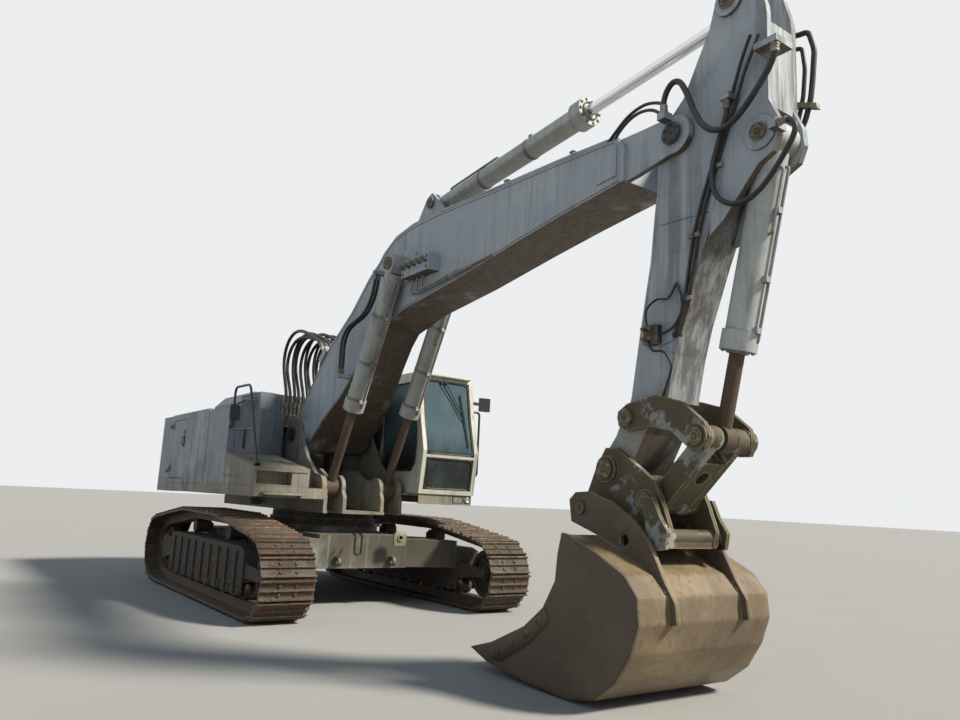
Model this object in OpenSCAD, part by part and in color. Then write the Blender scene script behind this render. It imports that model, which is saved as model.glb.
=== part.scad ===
// Crawler excavator with a box boom, a stick, a quick coupler and a wide bucket.
// Row frame: +X forward, +Y to the cab side, +Z up, origin on the ground below the swing centre.
// All lengths are millimetres. Every part is drawn where it rests.

/* [Tracks] */
track_length = 5000; // [4700:10:5300]
track_gauge = 2900; // [2750:10:3050]
shoe_width = 600; // [500:10:700]
shoe_count = 48; // [40:1:52]
grouser_height = 30; // [20:1:40]
chain_width = 200; // [160:5:230]
wheel_height = 458; // [430:1:480]
frame_width = 330; // [280:5:380]

/* [Upper structure] */
upper_width = 3000; // [2850:10:3150]
deck_top = 1430; // [1400:5:1470]
housing_top = 2470; // [2350:5:2600]
tail_radius = 3600; // [3450:10:3700]
sheet = 25; // [15:1:40]
ear_spacing = 1070; // [1060:5:1090]
inner_ear_spacing = 540; // [530:5:550]
ear_plate = 50; // [35:1:60]

/* [Cab] */
cab_front = 1470; // [1420:5:1540]
cab_right = 640; // [635:5:680]
cab_width = 880; // [860:5:920]
cab_height = 1640; // [1590:5:1700]
cab_wall = 50; // [35:1:65]
glass = 8; // [6:1:12]

/* [Working arm] */
boom_width = 560; // [500:5:570]
boom_foot_width = 860; // [800:5:900]
boom_wall = 18; // [12:1:26]
stick_width = 360; // [350:5:390]
stick_wall = 18; // [12:1:26]
barrel_d = 230; // [200:5:250]
rod_d = 112; // [90:2:125]
bucket_width = 1440; // [1300:10:1600]
bucket_wall = 28; // [20:1:36]
pin_r = 50; // [40:1:60]

/* [Hidden] */
$fn = 48;

// pivots of the arm, all as [x, z]
boom_foot = [20, 2160];
cyl_foot = [990, 1450];
cyl_head = [2390, 4100];
boom_tip = [6480, 4310];
arm_cyl_base = [2700, 4860];
arm_cyl_eye = [6970, 5240];
tool_cyl_base = [7220, 4070];
stick_tip = [5870, 1680];
rocker_pin = [6060, 2080];
link_pin = [6740, 1910];
coupler_pin = [6270, 1440];

half_len = track_length / 2;
wheel_x = half_len - wheel_height;
path_r = wheel_height - grouser_height - 20;
chain_h = 100;
carrier_z = 860;
carrier_r = 90;
ground_z = grouser_height + 20;
roller_z = ground_z + chain_h + carrier_r + 0.4;

// Helpers

// a shape drawn in x and z, pushed from y0 to y1
module side(y0, y1)
    translate([0, y1, 0]) rotate([90, 0, 0]) linear_extrude(y1 - y0) children();

// the same on both sides of the centre plane, from a to b away from it
module pair(a, b) {
    side(a, b) children();
    side(-b, -a) children();
}

// a cylinder along y
module bar_y(p, y0, y1, r)
    translate([p[0], y1, p[1]]) rotate([90, 0, 0]) cylinder(h = y1 - y0, r = r);

module bars_y(p, a, b, r) {
    bar_y(p, a, b, r);
    bar_y(p, -b, -a, r);
}

// a box from its low corner to its high corner
module box(lo, hi)
    translate(lo) cube([hi[0] - lo[0], hi[1] - lo[1], hi[2] - lo[2]]);

// frame of a cylinder that runs from a to b in the x-z plane: x along it
module along(a, b)
    translate([a[0], 0, a[1]])
        rotate([0, -atan2(b[1] - a[1], b[0] - a[0]), 0]) children();

function dist(a, b) = norm([b[0] - a[0], b[1] - a[1]]);
function tilt(a, b) = atan2(b[1] - a[1], b[0] - a[0]);

// hinge of a door in the side faces: s is the side, +1 left and -1 right
hinge_out = 12;
module leaf_on_door(x, face, z, s)
    difference() {
        union() {
            translate([x, face + s * hinge_out, z]) cylinder(h = 60, r = 11);
            box([x, min(face, face + s * 8), z], [x + 55, max(face, face + s * 8), z + 60]);
        }
        translate([x, face + s * hinge_out, z - 1]) cylinder(h = 62, r = 5.3);
    }
module leaf_on_frame(x, face, z, s) {
    translate([x, face + s * hinge_out, z - 31]) cylinder(h = 30.5, r = 11);
    translate([x, face + s * hinge_out, z - 1]) cylinder(h = 66, r = 5);
    box([x - 55, min(face, face + s * 8), z - 31], [x, max(face, face + s * 8), z - 0.5]);
}

// a hose in the plane y along its route in x and z, drawn as a square band of half width r
module hose(route, y, r)
    side(y - r, y + r) polygon(concat([for (i = [0:len(route) - 1]) beside(route, i, r)],
        [for (i = [len(route) - 1:-1:0]) beside(route, i, -r)]));
function beside(p, i, r) = let (a = p[max(i - 1, 0)], b = p[min(i + 1, len(p) - 1)], d = (b - a) / norm(b - a))
    p[i] + r * [-d[1], d[0]];

// Track path: circles [x, z, r] that the loop wraps, in the order it runs
wraps = [[wheel_x, wheel_height, path_r], [700, carrier_z, carrier_r + chain_h],
    [-700, carrier_z + 10, carrier_r + chain_h], [-wheel_x, wheel_height + 34, path_r],
    [-wheel_x + 330, wheel_height, path_r]];
wn = len(wraps);

// leaving angle of the outer tangent from circle a to circle b, measured on both
function tan_ang(a, b) = let (d = dist(a, b), t = tilt(a, b))
    t - 90 + asin((a[2] - b[2]) / d);
function wrap_out(i) = tan_ang(wraps[i], wraps[(i + 1) % wn]);
function wrap_in(i) = tan_ang(wraps[(i + wn - 1) % wn], wraps[i]);
function on_wrap(i, a) = [wraps[i][0] + wraps[i][2] * cos(a), wraps[i][1] + wraps[i][2] * sin(a)];
function turn(i) = let (t = wrap_out(i) - wrap_in(i)) t - 360 * floor(t / 360);
function arc_len(i) = turn(i) * PI / 180 * wraps[i][2];
function run_len(i) = dist(on_wrap(i, wrap_out(i)),
    on_wrap((i + 1) % wn, wrap_in((i + 1) % wn)));
function seg_sum(n) = n <= 0 ? 0 : arc_len(n - 1) + run_len(n - 1) + seg_sum(n - 1);
loop_len = seg_sum(wn);
pitch = loop_len / shoe_count;

function seg_at(s, i = 0) = i >= wn - 1 || s < seg_sum(i + 1) ? i : seg_at(s, i + 1);
function loop_pt(s) = let (i = seg_at(s), r = s - seg_sum(i), a = arc_len(i))
    r < a ? on_wrap(i, wrap_in(i) + r / wraps[i][2] * 180 / PI)
    : let (p = on_wrap(i, wrap_out(i)), q = on_wrap((i + 1) % wn, wrap_in((i + 1) % wn)),
        k = (r - a) / run_len(i)) p + (q - p) * k;
// the wheels fit inside the chain's flat links
wheel_r = (path_r - chain_h) * cos(pitch / path_r * 90 / PI) - 1.5;
pins = [for (i = [0:shoe_count - 1]) loop_pt(i * pitch)];

// shoe outline over one pitch: [share of the pitch, height over the pins' line]
shoe = [[0.03, 3], [0.03, 20 + grouser_height], [0.1, 20 + grouser_height], [0.15, 20],
    [0.42, 20], [0.48, 18 + grouser_height], [0.54, 20],
    [0.85, 20], [0.9, 20 + grouser_height], [0.98, 20 + grouser_height], [0.98, 3]];

module track(y) {
    outer = [for (i = [0:shoe_count - 1]) let (p = pins[i], q = pins[(i + 1) % shoe_count],
        t = (q - p) / norm(q - p), n = [t[1], -t[0]])
        for (s = shoe) p + t * norm(q - p) * s[0] + n * s[1]];
    chain = [for (i = [0:shoe_count - 1]) let (p = pins[i],
        q = pins[(i + 1) % shoe_count], o = pins[(i + shoe_count - 1) % shoe_count],
        t = (q - o) / norm(q - o), n = [t[1], -t[0]]) p - n * chain_h];
    difference() {
        side(y - shoe_width / 2, y + shoe_width / 2) polygon(outer);
        side(y - shoe_width / 2 - 1, y + shoe_width / 2 + 1) polygon(pins);
    }
    difference() {
        side(y - chain_width / 2, y + chain_width / 2) polygon(pins);
        side(y - chain_width / 2 - 1, y + chain_width / 2 + 1) polygon(chain);
    }
}

module track_right() color("#6b5a4c") track(-track_gauge / 2);
module track_left() color("#6b5a4c") track(track_gauge / 2);

module each_side() {
    translate([0, track_gauge / 2, 0]) children();
    translate([0, -track_gauge / 2, 0]) mirror([0, 1, 0]) children();
}

// side plates of the track frame hang low outboard of the rollers
module track_frames()
    color("#4a4744") each_side() {
        w = frame_width / 2;
        difference() {
            union() {
                side(-w, w) polygon([[-1500, 345], [1480, 345], [1520, 400], [1520, 700],
                    [1380, 740], [-1380, 740], [-1560, 700], [-1560, 400]]);
                side(w - 20, w) polygon([[-1500, 200], [1480, 200], [1520, 400], [-1560, 400]]);
                side(-w, -w + 20) polygon([[-1500, 200], [1480, 200], [1520, 400], [-1560, 400]]);
                // ribs on the outer face
                for (x = [-1300:325:1300])
                    box([x - 12, w - 1, 210], [x + 12, w + 22, 690]);
            }
            side(-w + 16, w - 16) polygon([[-1480, 361], [1460, 361], [1504, 410], [1504, 690],
                [1370, 724], [-1370, 724], [-1544, 690], [-1544, 410]]);
        }
        // forks that carry the idler, and the boss that carries the sprocket
        pair(w - 60, w - 22) polygon([[1520, 400], [wheel_x + 60, 410],
            [wheel_x + 60, 510], [1520, 560]]);
        side(w - 60, w - 22) polygon([[-1560, 400], [-wheel_x, wheel_height - 130],
            [-wheel_x, wheel_height + 190], [-1560, 650]]);
        // posts of the carrier rollers
        for (x = [-700, 700])
            box([x - 60, -w + 30, 740], [x + 60, -w + 60, carrier_z + 40]);
    }

module idlers()
    color("#3b3634") each_side() {
        difference() {
            bar_y([wheel_x, wheel_height], -90, 90, wheel_r);
            bar_y([wheel_x, wheel_height], -91, -50, wheel_r - 60);
            bar_y([wheel_x, wheel_height], 50, 91, wheel_r - 60);
        }
        bar_y([wheel_x, wheel_height], 50, frame_width / 2 - 60, 90);
        bar_y([wheel_x, wheel_height], -frame_width / 2 + 60, -50, 90);
    }

module sprockets()
    color("#3b3634") each_side() {
        c = [-wheel_x, wheel_height + 34];
        teeth = 20;
        translate([c[0], 0, c[1]]) rotate([90, 0, 0]) linear_extrude(90, center = true)
            polygon([for (i = [0:teeth * 4 - 1]) let (k = i % 4,
                r = k == 1 || k == 2 ? wheel_r - 3 : wheel_r - 42, a = (i + (k == 2 ? -0.3 : 0)) * 90 / teeth)
                [r * cos(a), r * sin(a)]]);
        bar_y(c, 45, frame_width / 2 - 60, 200);
        bar_y(c, -frame_width / 2 - 60, -45, 210);
    }

module track_rollers()
    color("#3b3634") each_side() {
        for (i = [0:8]) {
            x = -1440 + i * 358;
            bar_y([x, roller_z], -105, 105, carrier_r - 15);
            bar_y([x, roller_z], 40, 90, carrier_r);
            bar_y([x, roller_z], -90, -40, carrier_r);
            bar_y([x, roller_z], 105, frame_width / 2 - 20, 30);
            bar_y([x, roller_z], -frame_width / 2 + 20, -105, 30);
        }
        for (x = [-700, 700]) {
            z = carrier_z + (x < 0 ? 10 : 0) - 0.6;
            bar_y([x, z - 8], -frame_width / 2 + 60, 95, carrier_r - 4);
        }
    }

leg_in = 620;
leg_end = track_gauge / 2 - frame_width / 2;
module centre_frame()
    color("#8d8a84") {
        difference() {
            union() {
                box([-1300, -leg_in, 470], [1300, leg_in, 880]);
                for (sx = [-1, 1], sy = [-1, 1])
                    scale_sign(sx, sy) translate([0, 0, 480]) linear_extrude(350)
                        polygon([[350, leg_in - 10], [1300, leg_in - 10], [1480, leg_end],
                            [720, leg_end]]);
            }
            box([-1280, -leg_in + 20, 490], [1280, leg_in - 20, 860]);
        }
        translate([0, 0, 880]) difference() {
            cylinder(h = 70, r = 760, $fn = 96);
            translate([0, 0, -1]) cylinder(h = 72, r = 560, $fn = 96);
        }
        // lashing eyes on the front and rear plates
        for (s = [-1, 1], y = [-380, 380])
            translate([s * 1300, y, 560]) rotate([90, 0, 0]) translate([0, 0, -20])
                linear_extrude(40) difference() {
                    union() {
                        translate([s * 70, 0]) circle(r = 60);
                        translate([s > 0 ? -1 : -70, -60]) square([71, 120]);
                    }
                    translate([s * 70, 0]) circle(r = 30);
                }
    }

module scale_sign(sx, sy)
    mirror([sx < 0 ? 1 : 0, 0, 0]) mirror([0, sy < 0 ? 1 : 0, 0]) children();

module slew_ring()
    color("#35322f") translate([0, 0, 950]) difference() {
        union() {
            cylinder(h = 100, r = 720, $fn = 96);
            translate([0, 0, 100]) cylinder(h = 79.5, r = 690, $fn = 96);
        }
        translate([0, 0, -1]) cylinder(h = 182, r = 590, $fn = 96);
    }

// Upper structure
base_z = 1130;
plate_z = base_z + 40;
ear_in = ear_spacing / 2 - ear_plate / 2;
ear_out = ear_spacing / 2 + ear_plate / 2;
inner_in = inner_ear_spacing / 2 - ear_plate / 2;
inner_out = inner_ear_spacing / 2 + ear_plate / 2;
// the boom cylinders stand between the outer and the inner ears
cyl_y = (ear_in + inner_out) / 2;
foot_eye = ear_in - inner_out - 25;
front_end = 1205;
right_end = 1290;
skirt = 130;
side_y = upper_width / 2;

module upper_frame()
    color("#a9a9a4") difference() {
        union() {
            // floor plate, rails and wings
            box([-2650, -ear_out, base_z], [front_end, ear_out, plate_z]);
            pair(ear_in, ear_out) polygon([[-2650, plate_z - 1], [front_end - 5, plate_z - 1],
                [front_end - 5, 1330], [cyl_foot[0] + 163, 1420], [cyl_foot[0] + 80, 1592],
                [850, 1630], [560, 1830], [380, 2040], [240, 2240],
                [-230, 2240], [-330, 2050], [-700, 1500], [-1400, deck_top], [-2650, deck_top]]);
            bars_y(boom_foot, ear_in, ear_out, 240);
            bars_y(cyl_foot, ear_in - 5, ear_out + 12, 165);
            bars_y(cyl_foot, ear_out + 11, ear_out + 17, pin_r);
            pair(inner_in, inner_out) polygon([[-900, plate_z - 1], [front_end - 10, plate_z - 1],
                [front_end - 10, 1330], [cyl_foot[0] + 155, 1420], [900, 1560], [650, 1590], [400, 1700],
                [-60, 1700], [-260, 1560], [-900, 1300]]);
            bars_y(cyl_foot, inner_in, inner_out + 5, 160);
            bar_y(boom_foot, -ear_out - 18, ear_out + 18, pin_r + 10);
            // bulkhead in front of the engine
            box([-1010, right_in, plate_z - 1], [-985, left_in, housing_top]);
            // cross plates between the ears
            box([-900, -ear_in - 1, plate_z - 1], [-870, ear_in + 1, 1420]);
            box([-2650, -ear_in - 1, plate_z - 1], [-2610, ear_in + 1, deck_top]);
            // side wings
            for (s = [-1, 1]) {
                end = s > 0 ? cab_front - 20 : right_end;
                box([-2650, s > 0 ? ear_out - 1 : -side_y, deck_top - 30],
                    [end, s > 0 ? side_y : -ear_out + 1, deck_top]);
                box([-2650, s > 0 ? side_y - 20 : -side_y, deck_top - skirt],
                    [end, s > 0 ? side_y : -side_y + 20, deck_top - 29]);
                box([end - 20, s > 0 ? ear_out - 1 : -side_y, deck_top - skirt],
                    [end, s > 0 ? side_y : -ear_out + 1, deck_top - 29]);
            }
        }
        translate([0, 0, base_z - 1]) cylinder(h = 60, r = 420);
        // slots below the eyes of the boom rods
        for (s = [-1, 1]) box([860, s > 0 ? inner_out + 5 : -ear_in + 5, base_z - 1],
            [front_end + 1, s > 0 ? ear_in - 5 : -inner_out - 5, plate_z + 1]);
        // room in front of the ears for the left boom cylinder
        box([front_end + 1, ear_out - 10, base_z - 1], [cab_front, ear_out + 100, deck_top + 1]);
    }

cw_top = housing_top - 10;
hood_axis = [-2655, cw_top + 24];
hood_hinges = [-520, 500];
function cw_pt(a, r) = [-r * cos(a), r * sin(a)];
module counterweight()
    color("#b9b8b2") {
        translate([0, 0, deck_top - 140]) linear_extrude(cw_top - deck_top + 140)
            polygon(concat([for (i = [-24:3:24]) cw_pt(i, tail_radius)],
                [[-tail_radius * cos(24) + 90, side_y], [-2650, side_y],
                    [-2650, -side_y], [-tail_radius * cos(24) + 90, -side_y]]));
        // hood hinges, their half with the pin
        for (y = hood_hinges) {
            bar_y(hood_axis, y - 60, y - 0.5, 14);
            bar_y(hood_axis, y - 1, y + 58, 5);
            box([hood_axis[0] - 14, y - 60, cw_top - 1], [hood_axis[0] + 14, y - 0.5, hood_axis[1]]);
        }
    }

// plates with a hole on top of the counterweight, to lift it by
module lifting_eyes()
    color("#a9a8a2") for (y = [-700, 700])
        side(y - 25, y + 25) difference() {
            polygon([[-3220, cw_top], [-2980, cw_top], [-3030, cw_top + 100], [-3065, cw_top + 125],
                [-3135, cw_top + 125], [-3170, cw_top + 100]]);
            translate([-3100, cw_top + 65]) circle(r = 32);
        }

module engine_block()
    color("#5a5a58") box([-2450, -480, plate_z], [-1200, 480, 2100]);

// shell of plates, open below
module shell(lo, hi, t)
    difference() {
        box(lo, hi);
        box([lo[0] + t, lo[1] + t, lo[2] - 1], [hi[0] - t, hi[1] - t, hi[2] - t]);
    }

house_x0 = -2650;
house_x1 = -760;
right_in = -700;
left_in = 700;
house_hinge_x = house_x0 + 103;
house_hinges = [deck_top + 200, deck_top + 850];
module right_housing()
    color("#bdbcb7") {
        for (z = house_hinges) leaf_on_frame(house_hinge_x, -side_y, z, -1);
        difference() {
        shell([house_x0, -side_y, deck_top], [house_x1, right_in, housing_top], sheet);
        // doorway that the door fills
        box([house_x0 + 100, -side_y - 1, deck_top + 60],
            [house_x0 + 800, -side_y + sheet + 1, housing_top - 90]);
        }
    }

module right_door()
    color("#bdbcb7") {
        for (z = house_hinges) leaf_on_door(house_hinge_x, -side_y, z, -1);
        box([house_x0 + 106, -side_y, deck_top + 66],
            [house_x0 + 794, -side_y + sheet, housing_top - 96]);
        box([house_x0 + 690, -side_y - 18, deck_top + 740],
            [house_x0 + 750, -side_y, deck_top + 780]);
    }

left_x1 = -260;
module left_housing()
    color("#bdbcb7") {
        for (z = house_hinges) leaf_on_frame(house_hinge_x, side_y, z, 1);
        difference() {
        shell([house_x0, left_in, deck_top], [left_x1, side_y, housing_top], sheet);
        box([house_x0 + 100, side_y - sheet - 1, deck_top + 60],
            [house_x0 + 1300, side_y + 1, housing_top - 90]);
        }
    }

module left_door()
    color("#bdbcb7") {
        for (z = house_hinges) leaf_on_door(house_hinge_x, side_y, z, 1);
        box([house_x0 + 106, side_y - sheet, deck_top + 66],
            [house_x0 + 1294, side_y, housing_top - 96]);
        box([house_x0 + 1180, side_y, deck_top + 560],
            [house_x0 + 1240, side_y + 18, deck_top + 600]);
    }

hood_z = housing_top;
hood_rise = 355;
hood_half = 880;
hood_taper = 120;
// hood outline in x and z, and across, both inside by d
module hood_side(d = 0)
    polygon([[-2640 + d, hood_z - (d > 0 ? 1 : 0)], [-980 - d, hood_z - (d > 0 ? 1 : 0)],
        [-980 - d, hood_z + hood_rise - 125], [-1120 - d, hood_z + hood_rise - d],
        [-2500 + d, hood_z + hood_rise - d], [-2640 + d, hood_z + hood_rise - 175]]);
module hood_across(d = 0)
    polygon([[-hood_half + d, hood_z - 2], [hood_half - d, hood_z - 2],
        [hood_half - d, hood_z + hood_rise - 150], [hood_half - hood_taper - d, hood_z + hood_rise - d],
        [-hood_half + hood_taper + d, hood_z + hood_rise - d], [-hood_half + d, hood_z + hood_rise - 150]]);
module hood_block(d = 0)
    intersection() {
        side(-hood_half, hood_half) hood_side(d);
        translate([-2700, 0, 0]) rotate([90, 0, 90]) linear_extrude(1800) hood_across(d);
    }
module engine_hood()
    color("#bdbcb7") {
        // hood hinges, their half on the hood
        for (y = hood_hinges) difference() {
            union() {
                bar_y(hood_axis, y, y + 60, 14);
                box([hood_axis[0], y, hood_axis[1] - 7], [-2639, y + 60, hood_axis[1] + 7]);
            }
            bar_y(hood_axis, y - 1, y + 61, 5.3);
        }
        difference() {
            hood_block();
            hood_block(sheet);
        }
    }

tank_x0 = house_x1 + 10;
tank_x1 = 150;
tank_top = housing_top - 30;
tank_in = -ear_out - 95;
tank_corner = -side_y + 420;
module tank_plan()
    polygon([[tank_x0, -side_y], [tank_x1, -side_y], [tank_x1, tank_corner],
        [tank_x1 - 250, tank_in], [tank_x0, tank_in]]);
module fuel_tank()
    color("#b5b4ae") {
        difference() {
            translate([0, 0, deck_top]) linear_extrude(tank_top - deck_top) tank_plan();
            translate([0, 0, deck_top + 15]) linear_extrude(tank_top - deck_top - 30)
                offset(delta = -15) tank_plan();
        }
        translate([-350, -1290, tank_top]) cylinder(h = 50, r = 70);
    }

// louvred box on the tank, beside the hood
module air_intake()
    color("#bdbcb7") translate([0, 0, tank_top]) difference() {
        linear_extrude(250) polygon([[tank_x0 + 10, tank_corner], [60, tank_corner],
            [60, tank_corner + 145], [-70, tank_in - 65], [tank_x0 + 10, tank_in - 65]]);
        // louvres in the outer side
        for (z = [40:42:208])
            translate([tank_x0 + 60, tank_corner - 1, z]) cube([680, 13, 22]);
    }

box_top = 1655;
box_in = -810;
function box_slope(x) = box_top + 170 * (right_end - x) / (right_end - tank_x1 - 100);
// low box in front of the tank: side outline, inside by d
module box_side(d = 0)
    polygon([[tank_x1 + 1 + d, deck_top + d], [right_end - d, deck_top + d],
        [right_end - d, box_top - d], [tank_x1 + 100, box_top + 170 - d], [tank_x1 + 1 + d, box_top + 190 - d]]);
module step_box()
    color("#a8a6a0") {
        difference() {
            side(-side_y, box_in) box_side();
            difference() {
                side(-side_y + 20, box_in - 20) box_side(20);
                box([right_end - 160, -side_y, deck_top], [right_end, -1020, deck_top + 190]);
            }
            // recess in the front, a foothold
            box([right_end - 140, -side_y + 25, deck_top + 20],
                [right_end + 1, -1040, deck_top + 170]);
            // gap between the box and its top plate
            box([right_end - 12, -1330, box_top - 62], [right_end + 1, box_in - 30, box_top - 52]);
        }
        // tread plate in front, on two brackets
        box([right_end, -1410, deck_top - 100], [right_end + 110, -890, deck_top - 70]);
        for (y = [-1380, -950])
            side(y, y + 30) polygon([[right_end, deck_top - skirt], [right_end + 60, deck_top - 100.1],
                [right_end, deck_top - 100.1]]);
    }

// valve bank behind the boom's foot, with the ports that the boom's hoses come from
hose_y = [-405:67.5:405];
port_z = 2600;
port_x = -750;
module valve_bank()
    color("#55524e") {
        box([port_x - 110, -450, port_z - 300], [port_x + 110, 450, port_z - 120]);
        pair(330, 360) translate([port_x - 110, plate_z]) square([220, port_z - 300 - plate_z + 1]);
        for (y = hose_y) translate([port_x, y, port_z - 121]) cylinder(h = 121, r = 24, $fn = 12);
    }

cab_left = cab_right + cab_width;
cab_x0 = -230;
cab_z = deck_top;
cab_top = cab_z + cab_height;
// side outline of the cab
module cab_outline(d = 0)
    polygon([[cab_x0 + d, cab_z + d], [cab_front - d, cab_z + d],
        [cab_front + 70 - d, cab_z + 570], [cab_front - 60 - d, cab_z + 1050],
        [cab_front - 160 - d, cab_top - 60 - d * 0.4], [cab_front - 190 - d, cab_top - d],
        [cab_x0 + 120 + d, cab_top - d], [cab_x0 + d, cab_top - 160 - d]]);

door_x0 = 480;
door_x1 = cab_front - 140;
door_z0 = cab_z + 90;
door_z1 = cab_top - 110;
module door_outline(d = 0)
    polygon([[door_x0 + d, door_z0 + d], [door_x1 - d, door_z0 + d],
        [door_x1 - d, cab_z + 900], [door_x1 - 80 - d, door_z1 - d], [door_x0 + d, door_z1 - d]]);
module door_pane(d = 0)
    polygon([[door_x0 + 90 + d, door_z0 + 420 + d], [door_x1 - 90 - d, door_z0 + 420 + d],
        [door_x1 - 90 - d, cab_z + 900], [door_x1 - 160 - d, door_z1 - 80 - d],
        [door_x0 + 90 + d, door_z1 - 80 - d]]);
module side_pane(d = 0)
    polygon([[450 + d, cab_z + 300 + d], [cab_front - 220 - d, cab_z + 300 + d],
        [cab_front - 130 - d, cab_z + 400], [cab_front - 110 - d, cab_z + 700],
        [cab_front - 240 - d, cab_top - 140 - d], [450 + d, cab_top - 140 - d]]);
module rear_side_pane(d = 0)
    translate([-100 + d, cab_z + 600 + d]) square([470 - 2 * d, 850 - 2 * d]);

// windscreens, lower and upper, each from its sill to its head
pillar = 60;
windscreens = [[cab_z + 60, cab_z + 480], [cab_z + 520, cab_top - 90]];
cab_hinge_x = door_x0 + 2.5;
cab_hinges = [door_z0 + 160, door_z1 - 360];
module cab_shell()
    color("#c3c2bd") {
        for (z = cab_hinges) leaf_on_frame(cab_hinge_x, cab_left, z, 1);
        difference() {
        side(cab_right, cab_left) cab_outline();
        side(cab_right + cab_wall, cab_left - cab_wall) cab_outline(cab_wall);
        side(cab_left - cab_wall - 1, cab_left + 1) door_outline();
        side(cab_left - cab_wall - 1, cab_left + 1) rear_side_pane();
        side(cab_right - 1, cab_right + cab_wall + 1) rear_side_pane();
        side(cab_right - 1, cab_right + cab_wall + 1) side_pane();
        // windscreen, upper and lower
        for (z = windscreens)
            box([cab_front - 270, cab_right + pillar, z[0]], [cab_front + 90, cab_left - pillar, z[1]]);
        // rear window and roof hatch
        box([cab_x0 - 1, cab_right + 90, cab_z + 700], [cab_x0 + cab_wall + 1, cab_left - 90, cab_top - 260]);
        box([300, cab_right + 200, cab_top - cab_wall - 1], [1000, cab_left - 200, cab_top + 1]);
        }
    }

// windscreen panes follow the slope of the front outline
module cab_glass()
    color([0.5, 0.62, 0.66, 0.45]) {
        for (y = [cab_right, cab_left - glass])
            side(y, y + glass) rear_side_pane();
        side(cab_right, cab_right + glass) side_pane();
        for (z = windscreens) side(cab_right + pillar, cab_left - pillar) polygon(concat(
            [for (h = pane_heights(z)) [pane_x(h), h]],
            [for (h = pane_heights([-z[1], -z[0]])) [pane_x(-h) + glass, -h]]));
        box([cab_x0, cab_right + 90, cab_z + 700], [cab_x0 + glass, cab_left - 90, cab_top - 260]);
        // roof hatch
        box([300, cab_right + 200, cab_top - 30], [1000, cab_left - 200, cab_top - 20]);
    }
// the panes' place in the front wall at height z
function pane_x(z) = lookup(z, [[cab_z, cab_front - 30], [cab_z + 570, cab_front + 40],
    [cab_z + 1050, cab_front - 90], [cab_top - 60, cab_front - 190]]);
// both ends of a pane and the bends between them, from below, or with a minus from above
function pane_heights(z) = concat([z[0]], [for (k = z[0] > 0 ? [570, 1050] : [-1050, -570])
    if (sign(z[0]) * cab_z + k > z[0] && sign(z[0]) * cab_z + k < z[1]) sign(z[0]) * cab_z + k], [z[1]]);

module cab_door()
    color("#c3c2bd") {
        for (z = cab_hinges) leaf_on_door(cab_hinge_x, cab_left, z, 1);
        difference() {
            side(cab_left - cab_wall, cab_left) door_outline(5);
            side(cab_left - cab_wall - 1, cab_left + 1) door_pane();
        }
    }

module door_glass()
    color([0.5, 0.62, 0.66, 0.45]) side(cab_left - 24, cab_left - 24 + glass) door_pane();

cab_mid = (cab_right + cab_left) / 2;
module seat()
    color("#2f3034") {
        box([330, cab_mid - 170, cab_z + cab_wall], [700, cab_mid + 170, cab_z + 350]);
        box([300, cab_mid - 250, cab_z + 350], [820, cab_mid + 250, cab_z + 470]);
        side(cab_mid - 240, cab_mid + 240) polygon([[300, cab_z + 470], [430, cab_z + 470],
            [300, cab_z + 1080], [180, cab_z + 1080]]);
    }

module console()
    color("#3a3b3d") {
        for (y = [cab_mid - 350, cab_mid + 270]) {
            box([350, y, cab_z + cab_wall], [900, y + 80, cab_z + 560]);
            translate([820, y + 40, cab_z + 560]) cylinder(h = 190, r = 12);
            translate([820, y + 40, cab_z + 750]) cylinder(h = 90, r = 26);
        }
        for (y = [cab_mid - 90, cab_mid + 60]) {
            box([1200, y, cab_z + cab_wall], [1400, y + 80, cab_z + cab_wall + 20]);
            translate([1250, y + 40, cab_z + cab_wall + 20]) cylinder(h = 330, r = 10);
        }
    }

// bars 34 wide from point to point
module rail_line(p)
    for (i = [0:len(p) - 2]) hull() for (q = [p[i], p[i + 1]]) translate(q) circle(r = 17, $fn = 8);

module handrails()
    color("#26272a") {
        // loop beside the tank, and the long post at its front
        side(-side_y + 20, -side_y + 54) {
            rail_line([[1220, box_top + 50], [730, 2680], [tank_x1 + 18, 2690],
                [tank_x1 + 18, 2140], [1000, 2105]]);
            // foot on the sloping top, and two brackets on the tank's front
            polygon([[1185, box_slope(1185) + 0.1], [1255, box_slope(1255) + 0.1],
                [1240, box_top + 60], [1200, box_top + 60]]);
            for (z = [2160, 2390]) translate([tank_x1 + 0.1, z]) square([18, 30]);
        }
        // grab rail at the front of the cab
        for (z = [260, 1150])
            side(cab_left, cab_left + 145) translate([cab_front - 140, cab_z + z]) square(32);
        side(cab_left + 113, cab_left + 145) translate([cab_front - 140, cab_z + 260]) square([32, 922]);
    }

module mirrors()
    color("#26272a") {
        box([cab_front - 150, cab_left, cab_z + 1270], [cab_front - 110, cab_left + 120, cab_z + 1310]);
        translate([cab_front - 130, cab_left + 119, cab_z + 1190]) rotate([0, 0, -15])
            box([-18, 0, 0], [22, 160, 190]);
        // mirror on the right handrail
        box([tank_x1 + 35.1, -side_y - 20, 2260], [tank_x1 + 60, -side_y + 110, 2450]);
    }

module exhaust_pipe()
    color("#5a4a40") {
        translate([-1700, 1080, housing_top]) cylinder(h = 330, r = 65);
    }

// Working arm

// boom outline in x and z, front edge then back edge
boom_pts = [[-180, 2100], [40, 1910], [250, 1960], [400, 2110], [1050, 2610], [1450, 3050],
    [1850, 3440], [2450, 3590], [3500, 3720], [4500, 3880], [5200, 3980], [5980, 4075],
    [5980, 4390], [5890, 4475], [5200, 4515], [4100, 4555], [3000, 4605], [2450, 4600], [2060, 4540],
    [1780, 4400], [1490, 4140], [1160, 3740], [460, 3090], [-170, 2450], [-230, 2250]];

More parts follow.
